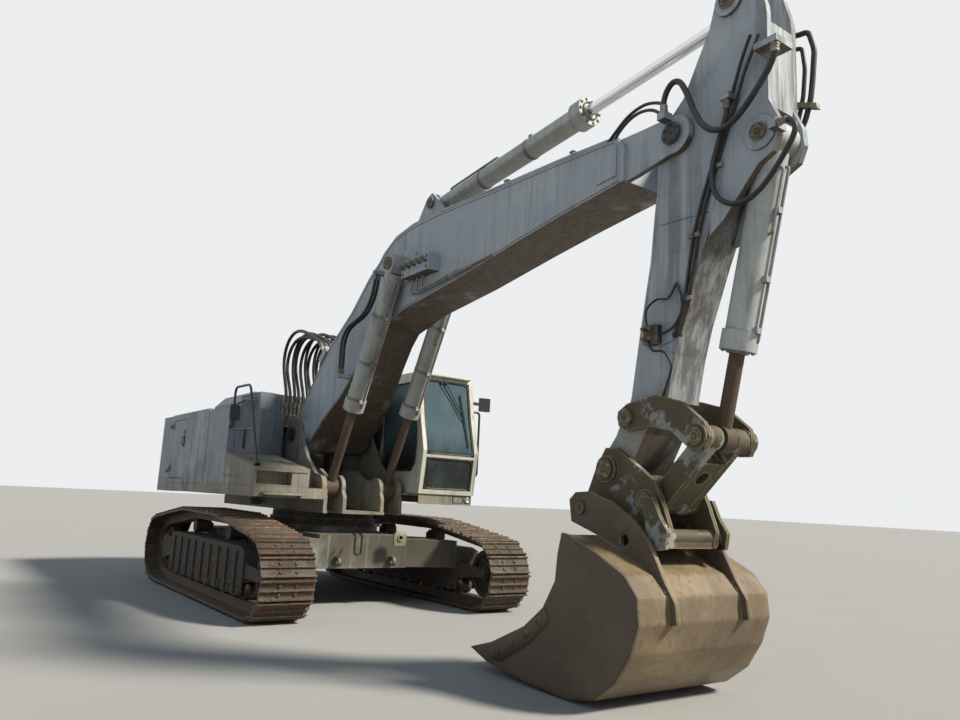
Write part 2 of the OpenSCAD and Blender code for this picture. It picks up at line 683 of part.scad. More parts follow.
// plan outline of the boom, wide at its foot
module boom_plan(d = 0)
    polygon([[-400, -boom_foot_width / 2 + d], [700, -boom_foot_width / 2 + d],
        [1700, -boom_width / 2 + d], [7200, -boom_width / 2 + d],
        [7200, boom_width / 2 - d], [1700, boom_width / 2 - d],
        [700, boom_foot_width / 2 - d], [-400, boom_foot_width / 2 - d]]);

boom_ear_in = stick_width / 2 + 14;
boom_ear_out = boom_ear_in + 50;
module boom()
    color("#c9c8c3") {
        difference() {
            union() {
                difference() {
                    intersection() {
                        side(-600, 600) polygon(boom_pts);
                        translate([0, 0, 1000]) linear_extrude(5000) boom_plan();
                    }
                    intersection() {
                        side(-600, 600) offset(delta = -boom_wall) polygon(boom_pts);
                        translate([0, 0, 1000]) linear_extrude(5000) boom_plan(boom_wall);
                    }
                }
                bar_y(boom_foot, -ear_in + 15, ear_in - 15, 230);
                // fork at the tip
                pair(boom_ear_in, boom_ear_out) {
                    polygon([[5700, 4050], [6090, 4090], [6450, 4153], [6450, 4467], [6090, 4470], [5700, 4480]]);
                    translate(boom_tip) circle(r = 160);
                }
                // bracket of the crowd hose
                box([6390, -crowd_y - 34, 4430], [6470, -boom_ear_out + 1, 4490]);
                // boss of the boom cylinders
                bar_y(cyl_head, -cyl_y + head_eye / 2 + 3, cyl_y - head_eye / 2 - 3, 130);
                // brackets of the stick cylinder
                pair(barrel_d / 2 + 3, barrel_d / 2 + 50) polygon([[2300, 4560], [3150, 4560], [2830, 4880], [2700, 4990],
                    [2590, 4940]]);
            }
            bar_y(boom_foot, -700, 700, pin_r + 10.3);
        }
        // pins that the boom carries
        bar_y(boom_tip, -boom_ear_out - 25, boom_ear_out + 25, pin_r + 5);
        bar_y(cyl_head, -cyl_y - head_eye / 2 - 22, cyl_y + head_eye / 2 + 22, pin_r);
        bar_y(arm_cyl_base, -barrel_d / 2 - 68, barrel_d / 2 + 68, pin_r);
    }

// top edge of the boom at x
function top_z(x) = lookup(x, [[2450, 4600], [3000, 4605], [4100, 4555], [5200, 4515], [5890, 4475]]);
pipe_y = [-240, -190, 190, 240];
pipe_x = [3250, 3600, 4100, 4650, 5200, 5850];
back_dir = [0.733, 0.68];
back_out = [-0.68, 0.733];
function on_back(s, h) = [460, 3090] + s * back_dir + h * back_out;
boom_port = on_back(140, 250);
module boom_pipes()
    color("#c9c8c3") {
        // port block on the boom's back, and the pipes that run up from it
        side(-445, 445) polygon([on_back(20, 0.35), on_back(260, 0.35), on_back(260, 110), on_back(20, 110)]);
        for (y = hose_y) translate([boom_port[0], y, boom_port[1]]) rotate([0, 180 - atan2(0.68, 0.733), 0])
            cylinder(h = 141, r = 24, $fn = 12);
        for (y = pipe_y) side(y - 16, y + 16) intersection() {
            difference() {
                offset(delta = 46) polygon(boom_pts);
                offset(delta = 14) polygon(boom_pts);
            }
            polygon([on_back(259.9, -200), on_back(259.9, 200), [1300, 4500], [1900, 4800], [3250, 4800],
                [3250, 4400], [2000, 4100]]);
        }
        // valve block and its pipes on the right side, near the cylinder's head
        box([2560, -boom_width / 2 - 150, 3890], [3150, -boom_width / 2 - 0.1, 4090]);
        for (x = [2620:120:3100]) bar_y([x, 4010], -boom_width / 2 - 190, -boom_width / 2 - 149, 30);
        // blocks that hold the ends of the side hoses
        box([2020, -loop_y - 65, 4040], [2080, -boom_width / 2 - 0.1, 4090]);
        box([1210, -loop_y - 65, 2840], [1270, -boom_foot_width / 2 + 0.15 * 510 - 0.1, 2890]);
        for (y = pipe_y)
            side(y - 16, y + 16) polygon(concat([for (x = pipe_x) [x, top_z(x) + 14]],
                [for (i = [5:-1:0]) [pipe_x[i], top_z(pipe_x[i]) + 46]]));
        for (x = [3300, 4300, 5300], s = [-1, 1])
            side(s > 0 ? 150 : -260, s > 0 ? 260 : -150) polygon([[x - 25, top_z(x - 25) + 0.1],
                [x + 25, top_z(x + 25) + 0.1], [x + 25, top_z(x + 25) + 60], [x - 25, top_z(x - 25) + 60]]);
    }

module work_lamp()
    color("#c9c8c3") {
        box([1800, boom_width / 2, 4180], [1980, boom_width / 2 + 60, 4260]);
        translate([1980, boom_width / 2 + 110, 4180]) cube([90, 150, 120], center = true);
    }

// Hoses: routes in x and z, each in a plane of one y
hose_r = 19;
bundle = [[port_x, port_z], [port_x, 2690], [-775, 2810], [-830, 2930], [-900, 3060], [-955, 3190], [-975, 3320],
    [-945, 3450], [-865, 3560], [-745, 3635], [-600, 3670], [-440, 3670], [-280, 3642], [-120, 3600],
    [30, 3554], [150, 3512], [255, 3466], boom_port + 50 * back_out, boom_port];
loop_y = boom_foot_width / 2 + 35;
side_loop = [[2050, 4040], [2050, 3960], [2025, 3850], [1970, 3740], [1880, 3640], [1760, 3570], [1620, 3530],
    [1480, 3500], [1360, 3450], [1280, 3370], [1240, 3270], [1235, 3160], [1240, 3050], [1240, 2970], [1240, 2890]];
module boom_hoses()
    color("#26272a") {
        for (y = hose_y) hose(bundle, y, hose_r);
        for (y = [-loop_y, -loop_y - 45]) hose(side_loop, y, hose_r);
    }

crowd_y = 300;
crowd_route = [[6430, 4490], [6430, 4580], [6480, 4650], [6550, 4690], [6640, 4690], [6730, 4650],
    [6810, 4575], [6870, 4480], [6925, 4370], [6985, 4270], [7060, 4190], [7150, 4150], [7240, 4170],
    [7310, 4235], [7360, 4320], [7400, 4420], [7430, 4530], [7430, 4620]];
module crowd_hoses()
    color("#26272a") hose(crowd_route, -crowd_y, 24);

tool_y = 235;
tool_route = [[6980, 4400], [6980, 4290], [6992, 4130], [7030, 3960], [7075, 3820], [7135, 3700],
    [7215, 3600], [7310, 3535], [7410, 3515], [7500, 3545], [7560, 3615], [7590, 3710], [7600, 3810],
    [7592, 3900], [7555, 3980], [7500, 4035], [7440, 4060], [7400, 4060]];
module stick_hoses()
    color("#26272a") hose(tool_route, -tool_y, 20);

// Cylinders: barrel from its base eye, rod to the far eye
module barrel(a, b, y, len, r, eye_w, gland_r, base_r)
    translate([0, y, 0]) along(a, b) {
        rotate([90, 0, 0]) translate([0, 0, -eye_w / 2]) difference() {
            cylinder(h = eye_w, r = base_r);
            translate([0, 0, -1]) cylinder(h = eye_w + 2, r = pin_r + 0.3);
        }
        difference() {
            union() {
                translate([base_r * 0.8, 0, 0]) rotate([0, 90, 0]) cylinder(h = len - base_r * 0.8, r = r);
                translate([len - 150, 0, 0]) rotate([0, 90, 0]) cylinder(h = 150, r = gland_r);
            }
            rotate([90, 0, 0]) cylinder(h = 900, r = pin_r + 0.3, center = true);
            translate([base_r + 60, 0, 0]) rotate([0, 90, 0]) cylinder(h = len, r = r - 22);
        }
        // gland ring that the rod slides in
        translate([len - 60, 0, 0]) rotate([0, 90, 0]) difference() {
            cylinder(h = 60, r = r - 10);
            translate([0, 0, -1]) cylinder(h = 62, r = rod_d / 2 + 0.5);
        }
    }

module rod(a, b, y, from, eye_w, eye_r, rod_r)
    translate([0, y, 0]) along(a, b) {
        L = dist(a, b);
        translate([from, 0, 0]) rotate([0, 90, 0]) cylinder(h = L - from - eye_r * 0.7, r = rod_r);
        translate([L, 0, 0]) rotate([90, 0, 0]) cylinder(h = eye_w, r = eye_r, center = true);
    }

boom_barrel_len = 1900;
head_eye = barrel_d;
module boom_barrels()
    color("#c9c8c3") for (y = [-cyl_y, cyl_y])
        barrel(cyl_head, cyl_foot, y, boom_barrel_len, barrel_d / 2, head_eye, barrel_d / 2 + 18, 125);
module boom_rods()
    color("#9a8c7c") for (y = [-cyl_y, cyl_y])
        rod(cyl_head, cyl_foot, y, 1180, foot_eye, 120, rod_d / 2);

stick_barrel_len = 2560;
module stick_barrel()
    color("#c9c8c3") barrel(arm_cyl_base, arm_cyl_eye, 0, stick_barrel_len, barrel_d / 2 - 5, barrel_d, barrel_d / 2 + 30, 120);
module stick_rod()
    color("#d0d2d4") rod(arm_cyl_base, arm_cyl_eye, 0, 1980, 150, 115, rod_d / 2);

tool_barrel_len = 1560;
tool_eye = barrel_d + 10;
module tool_barrel()
    color("#c9c8c3") barrel(tool_cyl_base, link_pin, 0, tool_barrel_len, barrel_d / 2, tool_eye, barrel_d / 2 + 20, 130);
module tool_rod()
    color("#7d6a58") rod(tool_cyl_base, link_pin, 0, 720, 120, 100, rod_d / 2);

stick_pts = [[5760, 1780], [5720, 1680], [5760, 1570], [5870, 1525], [5985, 1570], [6060, 1700],
    [6200, 1950], [6380, 2200], [6450, 2550], [6520, 2800], [6690, 3260], [6900, 3500],
    [7200, 3840], [7320, 3900], [7370, 4020], [7360, 4150], [7300, 4320], [7290, 5000], [7230, 5250],
    [7100, 5400], [6950, 5420], [6830, 5330], [6860, 5280], [6780, 5090], [6530, 4620],
    [6340, 4450], [6270, 4310], [6265, 3950], [6235, 3700], [6200, 3340], [6100, 2790],
    [6000, 2180], [5900, 1950]];
// the closed box of the stick ends below the rod's eye and behind the barrel's
stick_box = [[5760, 1780], [5720, 1680], [5760, 1570], [5870, 1525], [5985, 1570], [6060, 1700],
    [6200, 1950], [6380, 2200], [6450, 2550], [6520, 2800], [6690, 3260], [6790, 3500],
    [6930, 3860], [6990, 3960], [7040, 4210], [7290, 4262], [7290, 4930],
    [6695, 4930], [6530, 4620], [6340, 4450], [6270, 4310], [6265, 3950], [6235, 3700],
    [6200, 3340], [6100, 2790], [6000, 2180], [5900, 1950]];
stick_tip_half = 225;
half_s = stick_width / 2;
// front view of the stick: wide body, narrower tip
module stick_front(d = 0)
    polygon([[-stick_tip_half + d, 1400], [stick_tip_half - d, 1400],
        [stick_tip_half - d, 2000], [half_s - d, 2250], [half_s - d, 5500],
        [-half_s + d, 5500], [-half_s + d, 2250], [-stick_tip_half + d, 2000]]);
module stick_slab(d = 0)
    translate([5000, 0, 0]) rotate([90, 0, 90]) linear_extrude(3000) stick_front(d);

module stick()
    color("#c9c8c3") {
        difference() {
            union() {
                difference() {
                    intersection() {
                        side(-400, 400) polygon(stick_box);
                        stick_slab();
                    }
                    intersection() {
                        side(-400, 400) offset(delta = -stick_wall) polygon(stick_box);
                        stick_slab(stick_wall);
                    }
                }
                // ears at the top and lugs at the nose
                pair(half_s - 55, half_s) polygon(concat([[6690, 4920]],
                    [for (p = [[-190, -150], [-120, 90], [-20, 180], [130, 160], [260, 10], [310, -180]])
                        arm_cyl_eye + p], [[7290, 4990], [7290, 4920]]));
                pair(half_s - 55, half_s) polygon([[6760, 3400], [6900, 3500], [7200, 3840],
                    [7320, 3900], [7370, 4020], [7360, 4150], [7285, 4320], [7020, 4240],
                    [6960, 3980], [6900, 3830]]);
                // bosses
                bars_y(arm_cyl_eye, 88, half_s + 25, 120);
                bars_y(arm_cyl_eye, half_s + 24, half_s + 38, pin_r);
                bars_y(tool_cyl_base, tool_eye / 2 + 3, half_s + 15, 130);
                bar_y(rocker_pin, -rocker_in + 6, rocker_in - 6, 110);
                bar_y(stick_tip, -stick_tip_half, stick_tip_half, 165);
                bar_y(boom_tip, -half_s - 8, half_s + 8, 150);
                bar_y(tool_cyl_base, -half_s - 30, half_s + 30, pin_r);
                // brackets where hoses end
                box([6940, -tool_y - 30, 4400], [7020, -half_s + 1, 4450]);
                box([7340, -tool_y - 30, 4025], [7400, -half_s + 40, 4095]);
                box([7280, -crowd_y - 34, 4620], [7465, -half_s + 40, 4670]);
            }
            bar_y(boom_tip, -500, 500, pin_r + 5.3);
            bar_y(rocker_pin, -500, 500, pin_r + 0.3);
            bar_y(stick_tip, -500, 500, pin_r + 0.3);
        }
    }

rocker_in = 240;
rocker_out = 280;
module rocker_links()
    color("#8a857a") {
        difference() {
            union() {
                pair(rocker_in, rocker_out) polygon([[5970, 2020], [6060, 1975], [6300, 2000], [6500, 1960],
                    [6700, 1800], [6800, 1800], [6850, 1910], [6800, 2010], [6600, 2170],
                    [6350, 2240], [6060, 2190], [5960, 2130]]);
                bars_y(link_pin, rocker_in - 20, rocker_out + 20, 95);
            }
            bar_y(rocker_pin, -500, 500, pin_r);
        }
        // pins
        bar_y(rocker_pin, -rocker_out - 25, rocker_out + 25, pin_r);
        bars_y(link_pin, 100, rocker_in - 10, pin_r);
    }

link_half = 170;
// side outline of the link, from a way along it, h thick and with ends of radius r
module link_flat(from, h, r)
    difference() {
        union() {
            translate(link_pin) rotate(tilt(link_pin, coupler_pin)) translate([from, -h / 2])
                square([dist(link_pin, coupler_pin) - from, h]);
            translate(coupler_pin) circle(r = r);
            if (from == 0) translate(link_pin) circle(r = r);
        }
        translate(link_pin) circle(r = pin_r + 0.3);
    }
module tool_link()
    color("#77705f") difference() {
        union() {
            pair(110, link_half) link_flat(0, 170, 92);
            side(-111, 111) link_flat(175, 152, 82);
            // bosses at the rocker's pins
            for (y = [[90, 111], [link_half - 1, link_half + 40]])
                pair(y[0], y[1]) translate(link_pin) difference() {
                    circle(r = 88);
                    circle(r = pin_r + 0.3);
                }
            // bosses at the coupler's pin
            bars_y(coupler_pin, link_half - 1, coupler_in - 7, 84);
        }
        // oval hole through the box
        along(link_pin, coupler_pin) translate([330, 0, 0]) cylinder(h = 400, r = 60, center = true);
    }

coupler_in = 237;
coupler_out = 277;
ear2_in = 375;
ear2_out = 415;
hook_a = [5710, 1370];
hook_b = [6420, 1190];
module coupler()
    color("#6f6a55") {
        difference() {
            union() {
                pair(coupler_in, coupler_out) polygon([[5730, 1700], [5830, 1850], [5950, 1850], [6350, 1590],
                    [6420, 1440], [6500, 1240], [6480, 1120], [6200, 1092], [5900, 1200],
                    [5620, 1290], [5600, 1420]]);
                // bosses at the upper pins
                bars_y(stick_tip, coupler_out - 1, coupler_out + 40, 105);
                bars_y(coupler_pin, coupler_out - 1, coupler_out + 30, 90);
                // lower body
                side(-coupler_out + 1, coupler_out - 1) polygon([[5660, 1282], [5900, 1200], [6200, 1092],
                    [6470, 1112], [6470, 1160], [6180, 1180], [5900, 1270], [5700, 1350]]);
                // hooks at the rear
                pair(318, 355) polygon([[6290, 1480], [6400, 1470], [6460, 1340], [6540, 1230],
                    [6520, 1110], [6420, 1090], [6350, 1140], [6330, 1300]]);
                bar_y(hook_b, -356, 356, 60);
                bars_y(hook_a, coupler_out - 1, ear2_in, 80);
                bar_y(hook_a, -ear2_in - 60, ear2_in + 60, 45);
            }
            bar_y(coupler_pin, -coupler_in + 0.1, coupler_in - 0.1, 110);
        }
        bar_y(stick_tip, -coupler_out - 52, coupler_out + 52, pin_r);
    }

bucket_out = [[4720, 170], [4960, 90], [5500, 35], [5950, 18], [6220, 70], [6420, 220], [6550, 420],
    [6620, 620], [6600, 800], [6480, 930], [6200, 1060], [5900, 1170]];
bucket_in = [[5880, 1130], [6180, 1022], [6460, 900], [6565, 790], [6585, 625], [6522, 440],
    [6400, 245], [6210, 100], [5945, 50], [5500, 66], [4965, 120]];
half_b = bucket_width / 2;
module bucket()
    color("#7a6a58") {
        // wrapper
        side(-half_b + bucket_wall, half_b - bucket_wall) polygon(concat(bucket_out, bucket_in));
        // side plates
        for (s = [-1, 1]) side(s > 0 ? half_b - bucket_wall : -half_b, s > 0 ? half_b : -half_b + bucket_wall)
            polygon(concat(bucket_out, [[5830, 1180], [5790, 1020], [5770, 820], [5640, 610],
                [5420, 440], [5010, 255]]));
        // ears and the ribs that run down the back
        difference() {
            pair(ear2_in, ear2_out) polygon([[5570, 1430], [5640, 1490], [5800, 1500], [6050, 1420], [6250, 1310],
                [6420, 1150], [6560, 900], [6660, 760], [6680, 620], [6580, 600], [6600, 800],
                [6480, 930], [6200, 1060], [5900, 1170], [5800, 1200], [5600, 1260]]);
            bar_y(hook_a, -ear2_out - 1, ear2_out + 1, 45.3);
            bar_y([6180, 1150], -ear2_out - 1, ear2_out + 1, 45);
        }
    }

centre_frame();
track_frames();
track_right();
track_left();
idlers();
sprockets();
track_rollers();
slew_ring();
upper_frame();
counterweight();
lifting_eyes();
engine_block();
right_housing();
left_housing();
engine_hood();
right_door();
left_door();
fuel_tank();
air_intake();
step_box();
valve_bank();
cab_shell();
cab_glass();
cab_door();
door_glass();
seat();
console();
handrails();
mirrors();
exhaust_pipe();
boom();
boom_pipes();
boom_hoses();
crowd_hoses();
stick_hoses();
work_lamp();
boom_barrels();
boom_rods();
stick();
stick_barrel();
stick_rod();
tool_barrel();
tool_rod();
rocker_links();
tool_link();
coupler();
bucket();
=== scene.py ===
"""Looks of a crawler excavator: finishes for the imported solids, and the pieces that are too soft or
too fine for them. Lengths are metres, x runs forward, y to the cab and z up."""
import math

import bmesh
import bpy
import numpy as np
from mathutils import Matrix, Vector


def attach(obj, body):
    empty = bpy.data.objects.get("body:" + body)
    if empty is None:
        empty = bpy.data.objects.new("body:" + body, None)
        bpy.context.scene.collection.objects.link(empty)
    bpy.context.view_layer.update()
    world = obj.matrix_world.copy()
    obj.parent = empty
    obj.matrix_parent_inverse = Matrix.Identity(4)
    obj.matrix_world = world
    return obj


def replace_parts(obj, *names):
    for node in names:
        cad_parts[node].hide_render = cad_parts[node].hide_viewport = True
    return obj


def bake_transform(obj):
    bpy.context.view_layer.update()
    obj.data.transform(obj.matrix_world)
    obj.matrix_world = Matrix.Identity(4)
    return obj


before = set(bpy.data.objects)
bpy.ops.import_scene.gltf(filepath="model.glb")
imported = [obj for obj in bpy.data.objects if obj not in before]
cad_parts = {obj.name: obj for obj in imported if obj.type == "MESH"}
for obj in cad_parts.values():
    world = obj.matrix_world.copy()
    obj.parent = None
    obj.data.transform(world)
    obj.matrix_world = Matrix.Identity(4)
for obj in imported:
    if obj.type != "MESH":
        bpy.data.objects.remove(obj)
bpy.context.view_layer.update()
scene = bpy.context.scene
SIDES = (-1, 1)
FRONT, RIGHT, LEFT, UP = (1, 0, 0), (0, -1, 0), (0, 1, 0), (0, 0, 1)


def show(name, data):
    """An object at the origin of the scene that shows the data."""
    obj = bpy.data.objects.new(name, data)
    scene.collection.objects.link(obj)
    return obj


# Camera
IMAGE_W = 960
FOCAL_PX = 780.0
SENSOR_MM = 36.0
FAR = 400.0
EYE = (10.353, -4.737, 1.401)
YAW, PITCH, ROLL = (math.radians(a) for a in (144.819, 10.071, 2.798))


def set_camera():
    """Camera of the photograph: rolled about its line of sight, tipped up by PITCH, and turned by YAW from +x."""
    lens = bpy.data.cameras.new("photo_camera")
    lens.sensor_width = SENSOR_MM
    lens.lens = FOCAL_PX * SENSOR_MM / IMAGE_W
    lens.clip_end = FAR
    camera = show("photo_camera", lens)
    turns = ((YAW - math.pi / 2, "Z"), (PITCH + math.pi / 2, "X"), (ROLL, "Z"))
    yaw, pitch, roll = (Matrix.Rotation(angle, 4, axis) for angle, axis in turns)
    camera.matrix_world = Matrix.Translation(EYE) @ yaw @ pitch @ roll
    scene.camera = camera


set_camera()


# Shader maths
def linear(r, g, b):
    """Screen colour, 0 to 255, as the linear colour that a shader takes."""
    c = np.array([r, g, b]) / 255
    c = np.where(c <= 0.04045, c / 12.92, ((c + 0.055) / 1.055) ** 2.4)
    return (*map(float, c), 1.0)


def maths(operation, swap=False):
    """A method that adds a Math node of an operation on the value and another one."""
    def apply(self, other):
        pair = [other, self] if swap else [self, other]
        return self.nodes.node("Math", {"operation": operation}, pair)
    return apply


class Value:
    """A socket that carries a number; Python's operators on it add Math nodes."""

    def __init__(self, nodes, socket):
        self.nodes, self.socket = nodes, socket

    __add__ = __radd__ = maths("ADD")
    __mul__ = __rmul__ = maths("MULTIPLY")
    __sub__ = maths("SUBTRACT")
    __rsub__ = maths("SUBTRACT", swap=True)
    most = maths("MAXIMUM")

    def rise(self, low, high):
        """0 below low and 1 above high, with a smooth step between them; low above high turns it round."""
        return self.nodes.node("MapRange", {"interpolation_type": "SMOOTHSTEP"},
                               {"Value": self, "From Min": low, "From Max": high, "To Min": 0, "To Max": 1})


class Nodes:
    """The nodes of a material or of the world."""

    def __init__(self, owner):
        owner.use_nodes = True
        self.tree = owner.node_tree

    def feed(self, socket, value):
        """Links a Value to a socket, or sets a constant on it."""
        if isinstance(value, Value):
            self.tree.links.new(value.socket, socket)
        else:
            socket.default_value = value

    def node(self, kind, settings=None, values=(), out=0):
        """A node of a kind: first its settings, then its sockets by name or place. Gives an output or the node."""
        made = self.tree.nodes.new("ShaderNode" + kind)
        for key, setting in (settings or {}).items():
            setattr(made, key, setting)
        for key, value in values.items() if isinstance(values, dict) else enumerate(values):
            self.feed(made.inputs[key], value)
        return made if out is None else Value(self, made.outputs[out])


class Finish(Nodes):
    """One material and the nodes that paint it, coat over coat on a base colour."""

    def __init__(self, name, base, roughness=0.5, metallic=0, **constants):
        self.material = bpy.data.materials.new(name)
        super().__init__(self.material)
        self.shader = self.tree.nodes["Principled BSDF"]
        self.colour = base
        self.paint(Roughness=roughness, Metallic=metallic, **constants)
        self.place = self.node("TexCoord", out="Object")
        self.where = self.node("SeparateXYZ", None, [self.place], out=None)
        self.facing = self.node("SeparateXYZ", None, [self.node("TexCoord", out="Normal")], out=None)

    def paint(self, **sockets):
        """Feeds the shader's sockets, named with _ for a space."""
        for key, value in sockets.items():
            self.feed(self.shader.inputs[key.replace("_", " ")], value)

    def axis(self, letter):
        return Value(self, self.where.outputs[letter])

    def normal(self, letter):
        return Value(self, self.facing.outputs[letter])

    def noise(self, scale, detail=4, rough=0.55, squeeze=(1, 1, 1), shift=(0, 0, 0)):
        """Cloudy noise, 0 to 1, with a mean of a half."""
        at = self.node("Mapping", None, {"Vector": self.place, "Scale": squeeze, "Location": shift})
        return self.node("TexNoise", None, {"Vector": at, "Scale": scale, "Detail": detail, "Roughness": rough})

    def blend(self, a, b, mask):
        """Colour a where the mask is 0 and b where it is 1."""
        return self.node("Mix", {"data_type": "RGBA"}, {0: mask, 6: a, 7: b}, out=2)

    def coat(self, colour, mask):
        """Lays a colour over the coats before it where the mask is 1."""
        self.colour = self.blend(self.colour, colour, mask)

    def rounded(self, reach):
        """The normal, averaged over the faces within reach."""
        return self.node("Bevel", {"samples": 4}, {"Radius": reach})

    def edges(self, reach, least=0.01):
        """1 along the sharp edges: where the rounded normal leaves the face's own."""
        flat = self.node("NewGeometry", out="Normal")
        same = self.node("VectorMath", {"operation": "DOT_PRODUCT"}, [self.rounded(reach), flat], out="Value")
        return (1 - same).rise(least, least + 0.11)

    def done(self, height, distance, strength=1, rounding=0, **sockets):
        """Feeds the coats and the other sockets, and a bump from a height field over edges rounded by a reach."""
        bump = {"Height": height, "Distance": distance, "Strength": strength}
        if rounding:
            bump["Normal"] = self.rounded(rounding)
        self.paint(Base_Color=self.colour, Normal=self.node("Bump", None, bump), **sockets)
        return self.material


CHALK = linear(200, 204, 206)
DUST = linear(150, 138, 118)
MUD = linear(84, 68, 50)
RUST = linear(112, 68, 40)
DARK_RUST = linear(70, 42, 28)
GREASE = linear(28, 25, 22)
MOSS = linear(78, 80, 48)
STAIN = linear(68, 68, 66)
GRIME = linear(44, 40, 34)
BLACK = linear(22, 22, 24)
TAN_WEAR_AND_HIGHLIGHT = linear(196, 180, 150)
PAINT = linear(170, 178, 186)


def painted(name, base, dirt=0.5, rust=0.3, splash=0.2, under=0.8, moss=0, reach=0.02, grime=0.5, front=0):
    """Weathered paint: cloudy base, grey runs down the sides, dust on top, mud and painted shade below, rust from
    edges and chips. Below the height splash it is dusty; under is the mud and painted shade on faces that look
    down; front is the grime on the faces that look forward."""
    f = Finish(name, base, Coat_Roughness=0.35)
    cloud = f.noise(1.1, 5, 0.6)
    fine = f.noise(14, 6, 0.65)
    patch = f.noise(0.9, 5, 0.62, shift=(3.1, 7.7, 1.9))
    up = f.normal("Z")
    steep = 1 - up * up
    f.coat(CHALK, cloud.rise(0.46, 0.78) * 0.8)

    runs = f.noise(1, 6, 0.62, squeeze=(9, 9, 0.4)).rise(0.47, 0.7) * patch.rise(0.32, 0.6)
    thin_runs = f.noise(1, 5, 0.6, squeeze=(24, 24, 0.55), shift=(3, 1, 2)).rise(0.54, 0.7) * 0.6
    run_mask = runs.most(thin_runs) * steep * dirt
    f.coat(STAIN, run_mask)
    f.coat(CHALK, f.noise(1, 5, 0.6, squeeze=(13, 13, 0.35), shift=(8, 5, 1)).rise(0.58, 0.74) * steep * 0.45)
    soot = f.noise(1.6, 9, 0.72, squeeze=(1.6, 1.6, 0.8), shift=(6, 3, 8)).rise(0.56, 0.7) * steep
    f.coat(GRIME, soot * (0.75 * grime))
    if front:
        streaks = f.noise(1, 8, 0.7, squeeze=(12, 12, 0.9)).rise(0.38, 0.58)
        f.coat(GRIME, f.normal("X").rise(0.75, 0.92) * streaks * front)
    f.coat(MUD, f.noise(46, 3, 0.6).rise(0.6, 0.72) * patch.rise(0.35, 0.6) * (0.6 * dirt))
    if moss:
        f.coat(MOSS, f.noise(3.2, 7, 0.7, shift=(9, 2, 5)).rise(0.47, 0.7) * moss)

    low = f.axis("Z").rise(splash + 0.55, splash - 0.25) * f.noise(2.6, 7, 0.66).rise(0.36, 0.64)
    f.coat(DUST, low * 0.8)
    # Faces that look down get mud and grime: real dirt, and painted shade of the underside.
    underside_dirt_and_shade = up.rise(-0.15, -0.55) * f.noise(2, 6, 0.65, shift=(5, 5, 5)).rise(0.18, 0.46)
    f.coat(f.blend(MUD, GRIME, fine.rise(0.4, 0.66) * 0.7), underside_dirt_and_shade * under)
    f.coat(DUST, up.rise(0.55, 0.92) * f.noise(1.7, 6, 0.6, shift=(1, 4, 8)).rise(0.34, 0.66) * 0.6)

    edge = f.edges(reach)
    chips = f.noise(9, 8, 0.72, shift=(2, 6, 4))
    f.coat(STAIN, edge * f.noise(3, 6, 0.65, shift=(7, 7, 2)).rise(0.4, 0.62) * (0.5 * dirt))
    worn = (edge * chips.rise(0.46, 0.58)).most(chips.rise(0.67, 0.71) * patch.rise(0.42, 0.62)) * rust
    f.coat(f.blend(RUST, DARK_RUST, fine.rise(0.4, 0.62)), worn)
    rust_run = f.noise(1, 5, 0.7, squeeze=(16, 16, 0.7), shift=(4, 4, 0)).rise(0.6, 0.74)
    f.coat(RUST, rust_run * cloud.rise(0.5, 0.66) * steep * (0.55 * rust))
    return f.done(fine * 0.4 + worn * -1 + low * f.noise(60) * 1.5, 0.0016, 0.6, rounding=0.006,
                  Roughness=0.42 + fine * 0.22 + run_mask * 0.2 + low * 0.25 + worn * 0.2)


def earthy(name, base, rust_share=0.5, mud_share=0.6, gloss=0.75, lumps=0.006, lit=linear(140, 122, 102)):
    """Rusty steel under dried mud: rust over bare steel, mud in lumps where the noise is high, and lit edges."""
    f = Finish(name, base, gloss)
    fine = f.noise(22, 7, 0.7)
    grit = f.noise(90, 4, 0.6)
    rusty = f.blend(RUST, DARK_RUST, fine.rise(0.38, 0.62))
    f.coat(rusty, f.noise(2.3, 7, 0.66).rise(0.62 - 0.3 * rust_share, 0.7))
    mud = f.noise(5, 8, 0.7, shift=(8, 3, 1)).rise(0.62 - 0.25 * mud_share, 0.68)
    f.coat(f.blend(MUD, DUST, grit.rise(0.4, 0.64)), mud * 0.85)
    edge = f.edges(0.012) * fine.rise(0.35, 0.6)
    f.coat(lit, edge * 0.6)
    return f.done(fine * 0.5 + grit * 0.35 + mud * 1.6, lumps, 0.8, rounding=0.004,
                  Roughness=gloss + mud * 0.2 - edge * 0.25, Metallic=edge * 0.15)


def greasy(name, base, moss=0.4, paint_left=0.25):
    """Cast linkage: dark greasy steel, green-brown growth, islands of the old paint, and tan edges: worn metal with
    a painted highlight.
    """
    f = Finish(name, base, 0.6)
    fine = f.noise(26, 6, 0.7)
    f.coat(MUD, f.noise(4.2, 7, 0.68).rise(0.42, 0.62))
    f.coat(MOSS, f.noise(7, 7, 0.7, shift=(2, 9, 4)).rise(0.46, 0.64) * moss)
    f.coat(CHALK, f.noise(3, 8, 0.72, shift=(6, 1, 7)).rise(0.55, 0.6) * paint_left)
    wet = f.noise(3.4, 5, 0.6, shift=(1, 1, 9)).rise(0.56, 0.7)
    f.coat(GREASE, wet * 0.8)
    # Tan on the edges: worn metal, and a painted highlight where sun would catch them.
    edge = f.edges(0.016) * fine.rise(0.32, 0.52)
    f.coat(TAN_WEAR_AND_HIGHLIGHT, edge * 0.75)
    return f.done(fine * 0.7 + wet * 0.6, 0.003, 0.8, rounding=0.006, Roughness=0.72 - wet * 0.42 - edge * 0.15)


